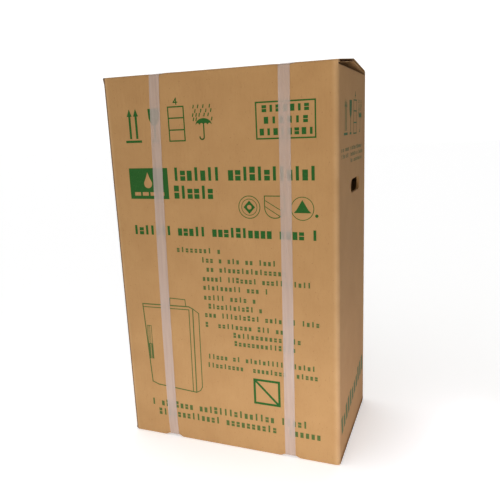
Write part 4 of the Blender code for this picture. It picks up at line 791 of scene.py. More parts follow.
# %% Grids along a crease
EDGE_PLAY = 0.8 * MM
INNER_DENT = 0.15
CRUSH_MOST = BOARD - 1.2 * MM
ROUND_END = CREASE_HEIGHT + 1 * MM
ROUND_FADE = 13 * MM
COLUMN_STEP = 6 * MM
END_COLUMNS = (0.0, 0.7 * MM, 1.6 * MM, 2.7 * MM)
INNER_COLUMNS_FROM = 4 * MM


def crease_columns(half_length):
    count = round(2 * half_length / COLUMN_STEP) + 1
    reach = half_length - INNER_COLUMNS_FROM
    ends = [half_length - play for play in END_COLUMNS]
    return [-e for e in ends] + between(-reach, reach, count) + ends[::-1]


def corner_draw(x, height):
    """How far the sleeve's rounded corner draws the board in, fading out over the crease."""
    past = min(max(abs(x) - (HALF_WIDTH - CREASE_ROUND), 0.0), CREASE_ROUND)
    drawn = CREASE_ROUND - math.sqrt(CREASE_ROUND**2 - past**2)
    fade = min(max((ROUND_END - height) / ROUND_FADE, 0.0), 1.0)
    return drawn * fade


def front_point(x, point, out, dent):
    """A section's point at x along the front, pressed in by its dent."""
    pressed = point - out * dent
    return Vector((x, -HALF_DEPTH + pressed.x, pressed.y))


def top_dent(x, point):
    distance = (point - Vector((0, CREASE_HEIGHT))).length
    return PRESS_TOP * strap_press(x, distance, True)


def felt(dent, dent_share):
    """The inner face moves by a share of the dent, or more where the board would get too thin."""
    return max(dent_share * dent, dent - CRUSH_MOST)


def top_grid(points, first, last, half_length, dent_share=1.0):
    """Rows along the crease, one for each point of the section from first up to last."""
    rows = []
    for k in range(first, last):
        row = []
        for x in crease_columns(half_length):
            dent = felt(top_dent(x, outer_top[k]), dent_share)
            place = front_point(x, points[k], out_top[k], dent)
            place.y += corner_draw(x, place.z)
            row.append(place)
        rows.append(row)
    return rows


def facing(side, rows):
    """The rows as they are for the front, and turned round for the back."""
    return rows if side == "front" else [[Vector((p.x, -p.y, p.z)) for p in row] for row in rows]


def dress(piece, slot, *nodes):
    """Hides the CAD nodes that the piece stands for, and prints its number of faces. The slot is not
    used.
    """
    if nodes:
        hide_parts(*nodes)
    print(piece.name, len(piece.data.polygons), "faces")
    return piece


print("columns along the crease:", len(crease_columns(HALF_WIDTH - EDGE_PLAY)))

# %% [markdown]
# Paper bends over the crease, so the crease is a piece of its own, apart from the flap. The flap proper
# is rigid and simply rides on its own body.


def bend_over_crease(piece):
    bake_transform(piece)


for side in ("front", "back"):
    crease_points, crease_faces = slab(
        facing(side, top_grid(outer_top, 0, CREASE_POINTS, HALF_WIDTH - EDGE_PLAY)),
        facing(side, top_grid(inner_top, 0, CREASE_POINTS, HALF_WIDTH - EDGE_PLAY, INNER_DENT)),
    )
    crease = make_mesh(
        side + "_flap_crease_board", crease_points, crease_faces, kraft, [p.x for p in crease_points]
    )
    bend_over_crease(crease)
    dress(crease, "kraft_board")
    first, last = CREASE_POINTS - 1, len(outer_top)
    flap_points, flap_faces, core = layered_board(
        facing(side, top_grid(outer_top, first, last, HALF_WIDTH)),
        facing(side, top_grid(inner_top, first, last, HALF_WIDTH, INNER_DENT)),
    )
    flap = make_mesh(
        side + "_flap_board", flap_points, flap_faces, kraft, [p.x for p in flap_points], core
    )
    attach(flap, side + "_flap")
    dress(flap, "kraft_board", "top_flap_" + side)

# %% [markdown]
# The bottom is closed in the same way: the outer flaps fold off the front and back walls and meet
# under the middle. The straps run under them, so each flap has a shallow press line there, and the
# edge above it is crushed deepest. The inner flaps fold off the side walls, at both ends of the box.

# %% Make the bottom flaps
PRESS_UNDER = 1.2
UNDER_GROOVE = STRAP_THICKNESS + 0.3 * MM
GROOVE_SHOULDER = 2 * MM
FOOT_ROUND = 4 * MM
FLAP_STEP = 8 * MM
FOOT_STATIONS = 128
outer_foot, out_foot, inner_foot = folded_section(
    Vector((0, FRONT_ENDS[0])), Vector((0, 0)), 0.0, HALF_DEPTH - SEAM_HALF, FOOT_ROUND,
    CREASE_END, FLAP_STEP,
)


def foot_dent(x, point, out):
    """How far the board is pressed in at a point of the foot's section."""
    share = PRESS_FOOT + (PRESS_UNDER - PRESS_FOOT) * abs(out.y)
    pressed = share * strap_press(x, point.length, False)
    beside = min(max(abs(x - strap_x(side, 0.0)) - STRAP_WIDTH / 2, 0.0) for side in STRAP_LINES)
    groove = UNDER_GROOVE * abs(out.y) * math.exp(-((beside / GROOVE_SHOULDER) ** 2))
    return max(pressed, groove)


def foot_columns():
    inner_columns = between(-HALF_WIDTH + 1 * MM, HALF_WIDTH - 1 * MM, FOOT_STATIONS)
    return [-HALF_WIDTH, *inner_columns, HALF_WIDTH]


def foot_grid(points, dent_share):
    """Rows along the foot, whose ends follow the rounded corners of the sleeve."""
    rows = []
    for point, outer_point, out in zip(points, outer_foot, out_foot):
        row = []
        for x in foot_columns():
            place = front_point(x, point, out, felt(foot_dent(x, outer_point, out), dent_share))
            place.y += corner_draw(place.x, FRONT_ENDS[1] + place.z)
            row.append(place)
        rows.append(row)
    return rows


for side in ("front", "back"):
    points, faces, core = layered_board(
        facing(side, foot_grid(outer_foot, 1.0)), facing(side, foot_grid(inner_foot, INNER_DENT))
    )
    bottom = make_mesh(side + "_bottom_board", points, faces, kraft, [p.x for p in points], core)
    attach(bottom, "root")
    dress(bottom, "kraft_board", "bottom_flap_" + side)

# %% [markdown]
# The inner flaps lie under the outer ones at the top, and over them at the bottom. They use the same
# folded section, and they are narrower than the side walls by the slots at the corners.

# %% Make the inner flaps
INNER_FLAP_HALF = HALF_DEPTH - CREASE_ROUND - SLOT_WIDTH
INNER_FLAP_STATIONS = 36
INNER_RUN = HALF_WIDTH - INNER_FLAP_END
lower_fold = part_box("bottom_flap_right")[0].z
inner_flap_sections = {
    end: folded_section(
        Vector((0, wall_end)), Vector((0, fold)), 0.0, INNER_RUN, FOLD_ROUND, CREASE_END, FLAP_STEP
    )
    for end, wall_end, fold in (
        ("top", SIDE_ENDS[1], inner_high.z), ("bottom", SIDE_ENDS[0], lower_fold)
    )
}


def side_grid(points, way):
    return [
        [Vector((way * (HALF_WIDTH - point.x), y, point.y))
         for y in between(-INNER_FLAP_HALF, INNER_FLAP_HALF, INNER_FLAP_STATIONS)]
        for point in points
    ]


for end, (outer_side, _, inner_side) in inner_flap_sections.items():
    for side, way in (("right", 1), ("left", -1)):
        points, faces, core = layered_board(side_grid(outer_side, way), side_grid(inner_side, way))
        flap = make_mesh(
            side + "_inner_" + end + "_board", points, faces, kraft, [p.y for p in points], core
        )
        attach(flap, "root")
        dress(flap, "kraft_board", end + "_flap_" + side)

# %% [markdown]
# The straps are polypropylene, 20 mm wide: milky, half clear, and rolled with fine lengthwise ribs
# that stop them from splitting. The milk runs in long streaks about 5 mm wide. The inner faces of the
# film are wholly clear, so that its milk counts once and not twice.

# %% Strap film
STRAP_COLOUR = "#b3a197"
STRAP_COVER = (0.53, 0.61)
STREAKS_PER_METRE = 210.0
STREAK_STRETCH = (1.0, 1.0, 0.05)

strap_film, tree = new_material("rolled_polypropylene_strap")
place = add_node(tree, "ShaderNodeTexCoord").outputs["Object"]
streaks = add_node(tree, "ShaderNodeMapping", None, {"Vector": place, "Scale": STREAK_STRETCH})
milk = add_node(
    tree, "ShaderNodeTexNoise", None,
    {"Vector": streaks.outputs["Vector"], "Scale": STREAKS_PER_METRE, "Detail": 1.0,
     "Roughness": 0.4},
)
cover = add_node(
    tree, "ShaderNodeMapRange", None,
    {"Value": milk.outputs["Fac"], "From Min": 0.3, "From Max": 0.7,
     "To Min": STRAP_COVER[0], "To Max": STRAP_COVER[1]},
)
from_inside = add_node(tree, "ShaderNodeNewGeometry").outputs["Backfacing"]
from_outside = add_node(tree, "ShaderNodeMath", {"operation": "SUBTRACT"}, {0: 1.0, 1: from_inside})
one_layer = add_node(
    tree, "ShaderNodeMath", {"operation": "MULTIPLY"},
    {0: cover.outputs["Result"], 1: from_outside.outputs[0]},
)
film = add_node(
    tree, "ShaderNodeBsdfPrincipled", None,
    {"Base Color": linear(STRAP_COLOUR), "Roughness": 0.42, "IOR": 1.49,
     "Specular IOR Level": 0.45, "Alpha": one_layer.outputs[0]},
)
add_node(tree, "ShaderNodeOutputMaterial", None, {"Surface": film.outputs["BSDF"]})
print("strap material:", strap_film.name)

# %% [markdown]
# One function draws the ribbed cross-section along any path, which is a list of places on the board,
# each with its outward direction. Milky film scatters light on to what lies below it rather than
# stopping it, so a strap casts no shadow, and the print shows through it.

# %% Draw a strap along a path
STRAP_LIFT = 0.25 * MM
RIB_PITCH = 2.5 * MM
RIB_HEIGHT = 0.14 * MM
RIB_POINTS = 41
EDGE_ROUND = 0.5 * MM
FLAT_SIDE = (0.97, 0.5, 0.0, -0.5, -0.97)


def strap_section():
    """(across, above) of the strap's outline: its ribbed outer face, then its flat inner one."""
    half = STRAP_WIDTH / 2
    top = []
    for across in between(-half, half, RIB_POINTS):
        rib = RIB_HEIGHT * (0.5 - 0.5 * math.cos(math.tau * across / RIB_PITCH))
        edge = min((half - abs(across)) / EDGE_ROUND, 1.0)
        top.append((across, STRAP_THICKNESS * (0.5 + 0.5 * math.sqrt(edge)) - rib * edge))
    return top + [(half * share, 0.0) for share in FLAT_SIDE]


def strap_mesh(name, path):
    """path is a list of (place on the board, outward direction)."""
    section = strap_section()
    around = len(section)
    points = []
    for k, (place, out) in enumerate(path):
        before, after = path[max(k - 1, 0)][0], path[min(k + 1, len(path) - 1)][0]
        sideways = (after - before).cross(out).normalized()
        for across, above in section:
            points.append(place + sideways * across + out * (STRAP_LIFT + above))
    faces = [
        (k * around + i, k * around + (i + 1) % around,
         (k + 1) * around + (i + 1) % around, (k + 1) * around + i)
        for k in range(len(path) - 1)
        for i in range(around)
    ]
    faces += [tuple(range(around)), tuple(len(points) - 1 - i for i in range(around))]
    strap = make_mesh(name, points, faces, strap_film)
    strap.visible_shadow = False
    return strap


print("points round a strap:", len(strap_section()))

# %% [markdown]
# Each strap's long piece goes down the front, under the carton and up the back. Its ends bend over the
# creases on to the outer flaps, as pieces of their own. The paths ask the board how far it is dented,
# so the straps lie in their dents.

# %% Lay the straps
STRAP_STATIONS = 120


def row_vector(out):
    return Vector((0, out.x, out.y))


def strap_down_front(side):
    """From just under the top crease to the middle of the underside."""
    path = []
    for height in between(FRONT_ENDS[1], FRONT_ENDS[0], STRAP_STATIONS):
        x = strap_x(side, height)
        place = Vector((x, -HALF_DEPTH + sink("front", x, height), height))
        path.append((place, Vector((0, -1, 0))))
    x = strap_x(side, 0.0)
    for point, out in zip(outer_foot[1:], out_foot[1:]):
        path.append((front_point(x, point, out, foot_dent(x, point, out)), row_vector(out)))
    return path


def turned_back(path):
    flip = Vector((1, -1, 1))
    return [(place * flip, out * flip) for place, out in path]


def tail_path(side):
    path = []
    for point, out in zip(outer_top, out_top):
        x = strap_x(side, point.y)
        path.append((front_point(x, point, out, top_dent(x, point)), row_vector(out)))
    return path


for side in STRAP_LINES:
    down = strap_down_front(side)
    wrap = strap_mesh("strap_" + side + "_round", down + list(reversed(turned_back(down))))
    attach(wrap, "root")
    dress(wrap, "strap_film", "strap_" + side + "_wrap")
    for face in ("front", "back"):
        path = tail_path(side)
        tail = strap_mesh(
            "strap_" + side + "_" + face + "_end", path if face == "front" else turned_back(path)
        )
        bend_over_crease(tail)
        dress(tail, "strap_film", "strap_" + side + "_" + face + "_tail")

# %% [markdown]
# The carton is printed in one green ink from rubber plates. The ink lies on the paper as a film a few
# hundredths of a millimetre thick, a little uneven, with the paper's texture showing in it. Modelled
# as thin closed shapes it stays sharp from any distance, and needs no image. The symbols are the usual
# ones of every shipping carton. Where the real box has words, rows of plain blocks stand for them.

# %% Printing ink material
INK = "#1a4c17"
INK_THIN = "#425427"
MOTTLES_PER_METRE = 700.0


def ink_material(name, full, worn):
    material, tree = new_material(name)
    place = add_node(tree, "ShaderNodeTexCoord").outputs["Object"]
    mottle = add_node(
        tree, "ShaderNodeTexNoise", None,
        {"Vector": place, "Scale": MOTTLES_PER_METRE, "Detail": 2.0, "Roughness": 0.6},
    )
    wear = add_node(
        tree, "ShaderNodeMapRange", None,
        {"Value": mottle.outputs["Fac"], "From Min": 0.5, "From Max": 0.75, "To Max": 0.5},
    )
    shade = add_node(
        tree, "ShaderNodeMix", {"data_type": "RGBA"},
        {0: wear.outputs["Result"], 6: linear(full), 7: linear(worn)},
    )
    film = add_node(
        tree, "ShaderNodeBsdfPrincipled", None,
        {"Base Color": shade.outputs[2], "Roughness": 0.6, "IOR": 1.45, "Specular IOR Level": 0.15},
    )
    add_node(tree, "ShaderNodeOutputMaterial", None, {"Surface": film.outputs["BSDF"]})
    return material


ink_full = ink_material("flexographic_ink", INK, "#3f6330")
ink_thin = ink_material("flexographic_ink_thin", INK_THIN, "#6b6338")
print("inks:", ink_full.name, ink_thin.name)

# %% [markdown]
# A print shape is a list of loops on a flat plate, in millimetres: the first is its outline, and any
# others are holes in it. A stroke is a line with a width, and a ring is a disc with a disc left out.


# %% Print shapes
def box_loop(x0, z0, x1, z1):
    return [(x0, z0), (x1, z0), (x1, z1), (x0, z1)]


def bar(x0, z0, x1, z1):
    return [box_loop(x0, z0, x1, z1)]


def outline(x0, z0, x1, z1, width):
    return [box_loop(x0, z0, x1, z1), box_loop(x0 + width, z0 + width, x1 - width, z1 - width)]


def circle_loop(x, z, radius, count=40):
    return [(x + radius * math.cos(math.tau * k / count), z + radius * math.sin(math.tau * k / count))
            for k in range(count)]


def ring(x, z, radius, width):
    return [circle_loop(x, z, radius), circle_loop(x, z, radius - width)]


def stroke(points, width):
    """One quad for each leg of a line, each a little longer than its leg to close the corners."""
    shapes = []
    for (x0, z0), (x1, z1) in zip(points, points[1:]):
        length = math.hypot(x1 - x0, z1 - z0)
        ux, uz = (x1 - x0) / length * width / 2, (z1 - z0) / length * width / 2
        shapes.append([[(x0 - ux - uz, z0 - uz + ux), (x0 - ux + uz, z0 - uz - ux),
                        (x1 + ux + uz, z1 + uz - ux), (x1 + ux - uz, z1 + uz + ux)]])
    return shapes


def arc_points(x, z, radius, start_deg, end_deg, count=10):
    return [(x + radius * math.cos(math.radians(a)), z + radius * math.sin(math.radians(a)))
            for a in between(start_deg, end_deg, count)]


def moved(shapes, dx, dz=0.0):
    return [[[(x + dx, z + dz) for x, z in loop] for loop in shape] for shape in shapes]


print("a ring has loops of", [len(loop) for loop in ring(0, 0, 10, 1)])

# %% [markdown]
# Four handling symbols stand in a row on every wall: this way up, fragile, the stacking limit, and
# keep dry. Their shapes are measured in millimetres from the row's lower left corner.

# %% The handling symbols
ARROW_AT = (13.0, 26.0)


def this_way_up():
    shapes = [bar(2, 0, 35, 4.2)]
    for x in ARROW_AT:
        shapes.append(bar(x - 2.2, 7, x + 2.2, 47))
        shapes.append([[(x - 5.2, 46), (x + 5.2, 46), (x, 59)]])
    return shapes


def fragile_glass():
    bowl = [(51.4, 58), (73.5, 58), (72.8, 42), (70.2, 34), (66, 29), (64.6, 27)]
    bowl += [(61.4, 27), (60, 29), (55.2, 34), (52.2, 42)]
    return [[bowl], bar(61.4, 5, 64.6, 28), bar(55.5, 0, 70.5, 4)]


def stacking_limit():
    """Three boxes on each other under a plain figure four, the most that may be stacked."""
    left, right, line, thin = 90.5, 122.7, 2.2, 1.9
    shapes = [outline(left, 0, right, 21, line), outline(left, 39, right, 60, line)]
    shapes += [bar(left, 20, left + line, 40), bar(right - line, 20, right, 40)]
    shapes += stroke([(108.2, 73), (103.4, 66.4), (110.6, 66.4)], thin)
    shapes += stroke([(108.2, 73), (108.2, 63.2)], thin)
    return shapes


RAIN_ROWS = (
    (57.4, (-17.6, -9.0, 0.8, 12.9)),
    (50.2, (-14.7, -3.8, 5.8, 15.0)),
    (43.5, (-19.3, -12.8, -7.0, 2.2, 9.7)),
    (36.4, (-18.4, -13.2, 16.0)),
)


def keep_dry():
    """An umbrella under rain."""
    middle = 158.5
    canopy = arc_points(middle, 24, 15, 0, 180, 19)
    canopy = [(x, 27 + (z - 24) * 0.72) for x, z in canopy]
    scallops = [(middle - 15 + 30 * k / 12, 27 + (2.6 if k % 3 else 0.0)) for k in range(1, 12)]
    shapes = [[canopy + scallops], bar(middle - 1.1, 7, middle + 1.1, 30)]
    hook = arc_points(middle - 4, 6.5, 4, 0, -180, 9)
    shapes += stroke(hook, 2.2)
    for height, places in RAIN_ROWS:
        for aside in places:
            x = middle + aside
            shapes += stroke([(x - 0.5, height - 2.0), (x + 0.5, height + 2.0)], 2.0)
    return shapes


handling_symbols = this_way_up() + fragile_glass() + stacking_limit() + keep_dry()
print("handling symbols:", len(handling_symbols), "shapes")

# %% [markdown]
# The front also carries a solid block with a plain drop left open in it, a frame round three rows,
# three plain badges, a crossed square, and a line drawing of the casing that is packed inside.


# %% The front's own shapes
def drop_loop(x, z, size):
    round_part = arc_points(x, z, size * 0.46, 155, 385, 22)
    waist, rise = size * 0.2, z + size * 0.62
    return round_part + [(x + waist, rise), (x, z + size * 1.15), (x - waist, rise)]


def solid_block():
    block = box_loop(-175, 483, -95.4, 539)
    ripples = [box_loop(-166 + 16.2 * k, 489, -153.6 + 16.2 * k, 495.5) for k in range(4)]
    return [[block, drop_loop(-137, 511, 18), *ripples]]


def badges():
    shapes = [ring(58.5, 470.5, 20, 1.3), ring(58.5, 470.5, 14.5, 1.0)]
    shapes.append([[(58.5, 482), (69, 470.5), (58.5, 459), (48, 470.5)], circle_loop(58.5, 470.5, 4)])
    shield = [(86.5, 490), (122, 490), (122, 472)]
    shield += arc_points(104.25, 470, 17.75, -10, -170, 14) + [(86.5, 472)]
    shapes += stroke(shield + shield[:1], 1.5)
    shapes += stroke([(88, 482), (120, 463)], 1.2) + stroke([(87, 472), (113, 456)], 1.2)
    shapes += [ring(152.7, 469.3, 20, 1.2)]
    shapes.append([[(152.7, 484), (163, 467), (168, 462), (137.4, 462), (142.4, 467)]])
    shapes.append([circle_loop(177, 457.6, 2.8, 16)])
    return shapes


def crossed_square():
    shapes = [outline(52.5, 100, 104.6, 151, 4.4)]
    return shapes + stroke([(56, 147.5), (101, 103.5)], 4.2)


def casing_drawing():
    """A casing seen from the front and a little from its right, with its collar and a slot."""
    line, thin = 2.2, 1.7
    shapes = stroke([(-171, 278.5), (-72, 279.5), (-64, 276), (-66.5, 105), (-150, 111),
                     (-163, 116), (-171, 278.5)], line)
    shapes += stroke([(-170, 272.5), (-72, 273.5)], thin) + stroke([(-72, 273.5), (-73.5, 107)], thin)
    shapes += stroke([(-64, 276), (-52, 268), (-53.5, 118), (-58, 110), (-66.5, 105)], thin)
    shapes += stroke([(-112, 279.5), (-111, 294), (-79, 293), (-78, 281)], thin)
    shapes += [outline(-166, 196, -156, 235, 1.2), outline(-163, 197, -159.6, 234, 0.9)]
    shapes += [bar(-166, 165, -161.6, 196), bar(-160.2, 165, -155.6, 196)]
    return shapes


front_shapes = moved(handling_symbols, -177, 584.5) + solid_block() + badges() + crossed_square()
front_shapes.append(outline(76, 583.5, 178, 644, 2.4))
print("front shapes:", len(front_shapes), "drawing:", len(casing_drawing()))

# %% [markdown]
# To print, the flat shapes are filled with triangles, cut along a grid fine enough to follow the
# wall's dish, given the ink's thickness, and then laid on the wall: each point asks how far the wall
# has sunk there. One function lays a print on any wall.

# %% Lay a print on a wall
INK_LIFT = 0.06 * MM
INK_THICKNESS = 0.05 * MM
PLATE_STEP = 9 * MM
TOUCHING = 1e-7


def fill(shapes):
    """Points in metres and triangles of flat print shapes given in millimetres."""
    points, faces = [], []
    for loops in shapes:
        start = len(points)
        loop_points = [[Vector((x * MM, z * MM, 0)) for x, z in loop] for loop in loops]
        points += [p for loop in loop_points for p in loop]
        faces += [tuple(start + i for i in corners) for corners in tessellate_polygon(loop_points)]
    return points, faces


def on_wall(wall, across, height, above):
    """A point of a print, above the wall's outer face, seen from outside as across and height."""
    along = across if wall in ("front", "right") else -across
    if wall in ("front", "back"):
        way = -1 if wall == "front" else 1
        return Vector((along, way * (HALF_DEPTH - sink(wall, along, height) + above), height))
    way = 1 if wall == "right" else -1
    return Vector((way * (HALF_WIDTH - sink(wall, along, height) + above), along, height))


def lay_print(name, wall, points, faces, material, plate_step=PLATE_STEP):
    plate = bmesh.new()
    corners = [plate.verts.new(p) for p in points]
    for face in faces:
        plate.faces.new([corners[i] for i in face])
    bmesh.ops.remove_doubles(plate, verts=plate.verts, dist=TOUCHING)
    for axis in (0, 1) if plate_step else ():
        normal = Vector((axis == 0, axis == 1, 0))
        spread = [v.co[axis] for v in plate.verts]
        for k in range(math.ceil(min(spread) / plate_step), math.ceil(max(spread) / plate_step)):
            everything = plate.verts[:] + plate.edges[:] + plate.faces[:]
            bmesh.ops.bisect_plane(
                plate, geom=everything, dist=TOUCHING, plane_co=normal * k * plate_step,
                plane_no=normal,
            )
    plate.verts.index_update()
    count = len(plate.verts)
    upper = [on_wall(wall, v.co.x, v.co.y, INK_LIFT + INK_THICKNESS) for v in plate.verts]
    lower = [on_wall(wall, v.co.x, v.co.y, INK_LIFT) for v in plate.verts]
    sides = [tuple(v.index for v in face.verts) for face in plate.faces]
    sides += [tuple(count + i for i in reversed(side)) for side in sides]
    for edge in plate.edges:
        if len(edge.link_faces) == 1:
            a, b = (v.index for v in edge.verts)
            sides.append((a, b, count + b, count + a))
    plate.free()
    piece = make_mesh(name, upper + lower, sides, material)
    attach(piece, "root")
    return dress(piece, "kraft_board")


for wall in ("front", "back"):
    lay_print(wall + "_print", wall, *fill(front_shapes), ink_full)
    lay_print(wall + "_casing_drawing", wall, *fill(casing_drawing()), ink_thin)
for wall in ("right", "left"):
    lay_print(wall + "_print", wall, *fill(moved(handling_symbols, -88, 584.5)), ink_full)

# %% [markdown]
# The rows of blocks are made with Geometry Nodes. A row starts as a single straight edge. The tree
# puts points along it, takes some away where a word would end, and stands one of three plain marks on
# each point that is left: a post, a block, or a pair of blocks one above the other. Their heights vary
# as those of letters do, so a row has the weight and rhythm of print, and says nothing.
# Two helpers come first: one starts a tree, the other runs it on some edges and returns what grew.


# %% Start and run a Geometry Nodes tree
def new_tree(name, inputs):
    tree = bpy.data.node_groups.new(name, "GeometryNodeTree")
    tree.interface.new_socket("Geometry", in_out="INPUT", socket_type="NodeSocketGeometry")
    for label, kind in inputs:
        tree.interface.new_socket(label, in_out="INPUT", socket_type=kind)
    tree.interface.new_socket("Geometry", in_out="OUTPUT", socket_type="NodeSocketGeometry")
    return tree, add_node(tree, "NodeGroupInput"), add_node(tree, "NodeGroupOutput")


def grown(name, tree, points, edges, values):
    """The tree's result on a mesh of loose edges, as points and faces."""
    mesh = bpy.data.meshes.new(name)
    mesh.from_pydata(points, edges, [])
    seed_piece = bpy.data.objects.new(name, mesh)
    bpy.context.scene.collection.objects.link(seed_piece)
    modifier = seed_piece.modifiers.new(name, "NODES")
    modifier.node_group = tree
    for item in tree.interface.items_tree:
        if item.in_out == "INPUT" and item.name in values:
            modifier[item.identifier] = values[item.name]
    graph = bpy.context.evaluated_depsgraph_get()
    made = bpy.data.meshes.new_from_object(seed_piece.evaluated_get(graph))
    grown_points = [v.co.copy() for v in made.vertices]
    grown_faces = [tuple(p.vertices) for p in made.polygons]
    bpy.data.objects.remove(seed_piece)
    return grown_points, grown_faces


print("helpers ready:", new_tree.__name__, grown.__name__)

# %% [markdown]
# The tree has four steps: edge to curve, curve to points, points thinned out to words, and a mark on
# each point. All the random choices share one seed, so a row comes out the same each time.

# %% Geometry Nodes tree for a row of blocks
# The bars of each mark: middle x and y, width and height, as shares of the mark's size.
MARKS = {
    "post": [(0.0, 0.5, 0.5, 1.0)],
    "pair": [(0.0, 0.23, 0.92, 0.46), (0.0, 0.775, 0.92, 0.45)],
    "block": [(0.0, 0.5, 0.88, 1.0)],
}

LOW_MARKS = 0.6
row_tree, row_in, row_out = new_tree(
    "row_of_blocks",
    [("Pitch", "NodeSocketFloat"), ("Width", "NodeSocketFloat"), ("Height", "NodeSocketFloat"),
     ("Low share", "NodeSocketFloat"), ("Gap share", "NodeSocketFloat"), ("Seed", "NodeSocketInt"),
     ("Last mark", "NodeSocketInt"), ("Ink", "NodeSocketMaterial")],
)
row_curve = add_node(row_tree, "GeometryNodeMeshToCurve", None, {"Mesh": row_in.outputs["Geometry"]})
row_points = add_node(
    row_tree, "GeometryNodeCurveToPoints", {"mode": "LENGTH"},
    {"Curve": row_curve.outputs["Curve"], "Length": row_in.outputs["Pitch"]},
)
word_end = add_node(
    row_tree, "FunctionNodeRandomValue", {"data_type": "BOOLEAN"},
    {"Probability": row_in.outputs["Gap share"], "Seed": row_in.outputs["Seed"]},
)
row_words = add_node(
    row_tree, "GeometryNodeDeleteGeometry", {"domain": "POINT"},
    {"Geometry": row_points.outputs["Points"], "Selection": word_end.outputs[3]},
)
# Join Geometry puts what is linked last first, so mark number 0 is the block.
choices = add_node(row_tree, "GeometryNodeJoinGeometry")
for bars in MARKS.values():
    mark = add_node(row_tree, "GeometryNodeJoinGeometry")
    for x, y, width, height in bars:
        plate = add_node(
            row_tree, "GeometryNodeMeshGrid", None,
            {"Size X": width, "Size Y": height, "Vertices X": 2, "Vertices Y": 2},
        )
        put = add_node(
            row_tree, "GeometryNodeTransform", None,
            {"Geometry": plate.outputs["Mesh"], "Translation": (x, y, 0)},
        )
        row_tree.links.new(put.outputs["Geometry"], mark.inputs["Geometry"])
    one_mark = add_node(
        row_tree, "GeometryNodeGeometryToInstance", None, {"Geometry": mark.outputs["Geometry"]}
    )
    row_tree.links.new(one_mark.outputs["Instances"], choices.inputs["Geometry"])
which = add_node(
    row_tree, "FunctionNodeRandomValue", {"data_type": "INT"},
    {4: 0, 5: row_in.outputs["Last mark"], "Seed": row_in.outputs["Seed"]},
)
is_low = add_node(
    row_tree, "FunctionNodeRandomValue", {"data_type": "BOOLEAN"},
    {"Probability": LOW_MARKS, "Seed": row_in.outputs["Seed"]},
)
low_height = add_node(
    row_tree, "ShaderNodeMath", {"operation": "MULTIPLY"},
    {0: row_in.outputs["Height"], 1: row_in.outputs["Low share"]},
)
height = add_node(
    row_tree, "GeometryNodeSwitch", {"input_type": "FLOAT"},
    {"Switch": is_low.outputs[3], "False": row_in.outputs["Height"], "True": low_height.outputs[0]},
)
size = add_node(
    row_tree, "ShaderNodeCombineXYZ", None,
    {"X": row_in.outputs["Width"], "Y": height.outputs["Output"], "Z": 1.0},
)
stood = add_node(
    row_tree, "GeometryNodeInstanceOnPoints", None,
    {"Points": row_words.outputs["Geometry"], "Instance": choices.outputs["Geometry"],
     "Pick Instance": True, "Instance Index": which.outputs[2], "Scale": size.outputs["Vector"]},
)
real = add_node(
    row_tree, "GeometryNodeRealizeInstances", None, {"Geometry": stood.outputs["Instances"]}
)
inked = add_node(
    row_tree, "GeometryNodeSetMaterial", None,
    {"Geometry": real.outputs["Geometry"], "Material": row_in.outputs["Ink"]},
)
row_tree.links.new(inked.outputs["Geometry"], row_out.inputs["Geometry"])
print("row tree:", len(row_tree.nodes), "nodes")

# %% [markdown]
# Each style of print has its own pitch, height and ink, and its rows are listed by their ends and
# their foot, in millimetres. The big lines are bold and full green. The small ones are thin strokes,
# and thin strokes let the brown paper mix into the green. The slanted row on the sides is all blocks.

# %% Print the rows
# Pitch, width, height, height share of the low marks, share of gaps, seed, ink, and the rows.
ROW_STYLES = {
    "headline": (12.8, 10.8, 23.5, 0.76, 0.12, 3, ink_full,
                 [(-84, 177, 516), (-85, -8, 484)]),
    "tagline": (11.4, 9.6, 17.5, 0.78, 0.12, 8, ink_full, [(-175, 178, 416)]),
    "label": (11.2, 8.6, 11.0, 1.0, 0.0, 5, ink_full,
              [(87, 167, 627), (90, 165, 608.5), (82, 174, 590)]),
    "list": (8.2, 5.6, 10.0, 0.76, 0.13, 21, ink_thin,
             [(-88, -1, 385), (-39, 103, 367.5), (-39, 121, 350.5), (-39, 165, 332.5), (-39, 87, 315.5),
              (-39, 63, 296.5), (-39, 83, 279.5), (-39, 179, 262.5), (-39, 113.5, 243),
              (16.5, 145, 227), (18, 135, 211), (-37, 179, 179.5), (-39, 175, 162)]),
    "foot": (10.2, 7.0, 14.0, 0.76, 0.13, 34, ink_thin, [(-168, 154, 65), (-154, 179, 45)]),
}
SIDE_STYLES = {
    "small": (5.6, 4.0, 7.0, 0.76, 0.13, 13, ink_thin,
              [(-108, -40, 558), (-108, -46, 547), (-24, 106, 558), (-24, 98, 547), (-24, 88, 536)]),
}
SLANTED_STYLES = {"large": (20.0, 15.5, 34.0, 0.76, 0.0, 2, ink_thin, [(-112, 116, 66)])}
SLANT = math.radians(8)


def print_rows(wall, styles, tilt=0.0):
    for style, (pitch, width, tall, low_share, gap_share, seed, ink, rows) in styles.items():
        points, edges = [], []
        for k, (start, end, foot) in enumerate(rows):
            points += [(x * MM, foot * MM, 0) for x in (start + width / 2, end - width / 2)]
            edges.append((2 * k, 2 * k + 1))
        values = {"Pitch": pitch * MM, "Width": width * MM, "Height": tall * MM, "Seed": seed,
                  "Low share": low_share, "Gap share": gap_share, "Ink": ink,
                  "Last mark": 0 if tilt else len(MARKS) - 1}
        marks, sides = grown(style, row_tree, points, edges, values)
        there = Matrix.Translation((0, rows[0][2] * MM, 0))
        back = Matrix.Translation((0, -rows[0][2] * MM, 0))
        turn = there @ Matrix.Rotation(tilt, 4, "Z") @ back
        lay_print(wall + "_" + style + "_rows", wall, [turn @ p for p in marks], sides, ink, 0)


for wall in ("front", "back"):
    print_rows(wall, ROW_STYLES)
for wall in ("right", "left"):
    print_rows(wall, SIDE_STYLES)
    print_rows(wall, SLANTED_STYLES, SLANT)

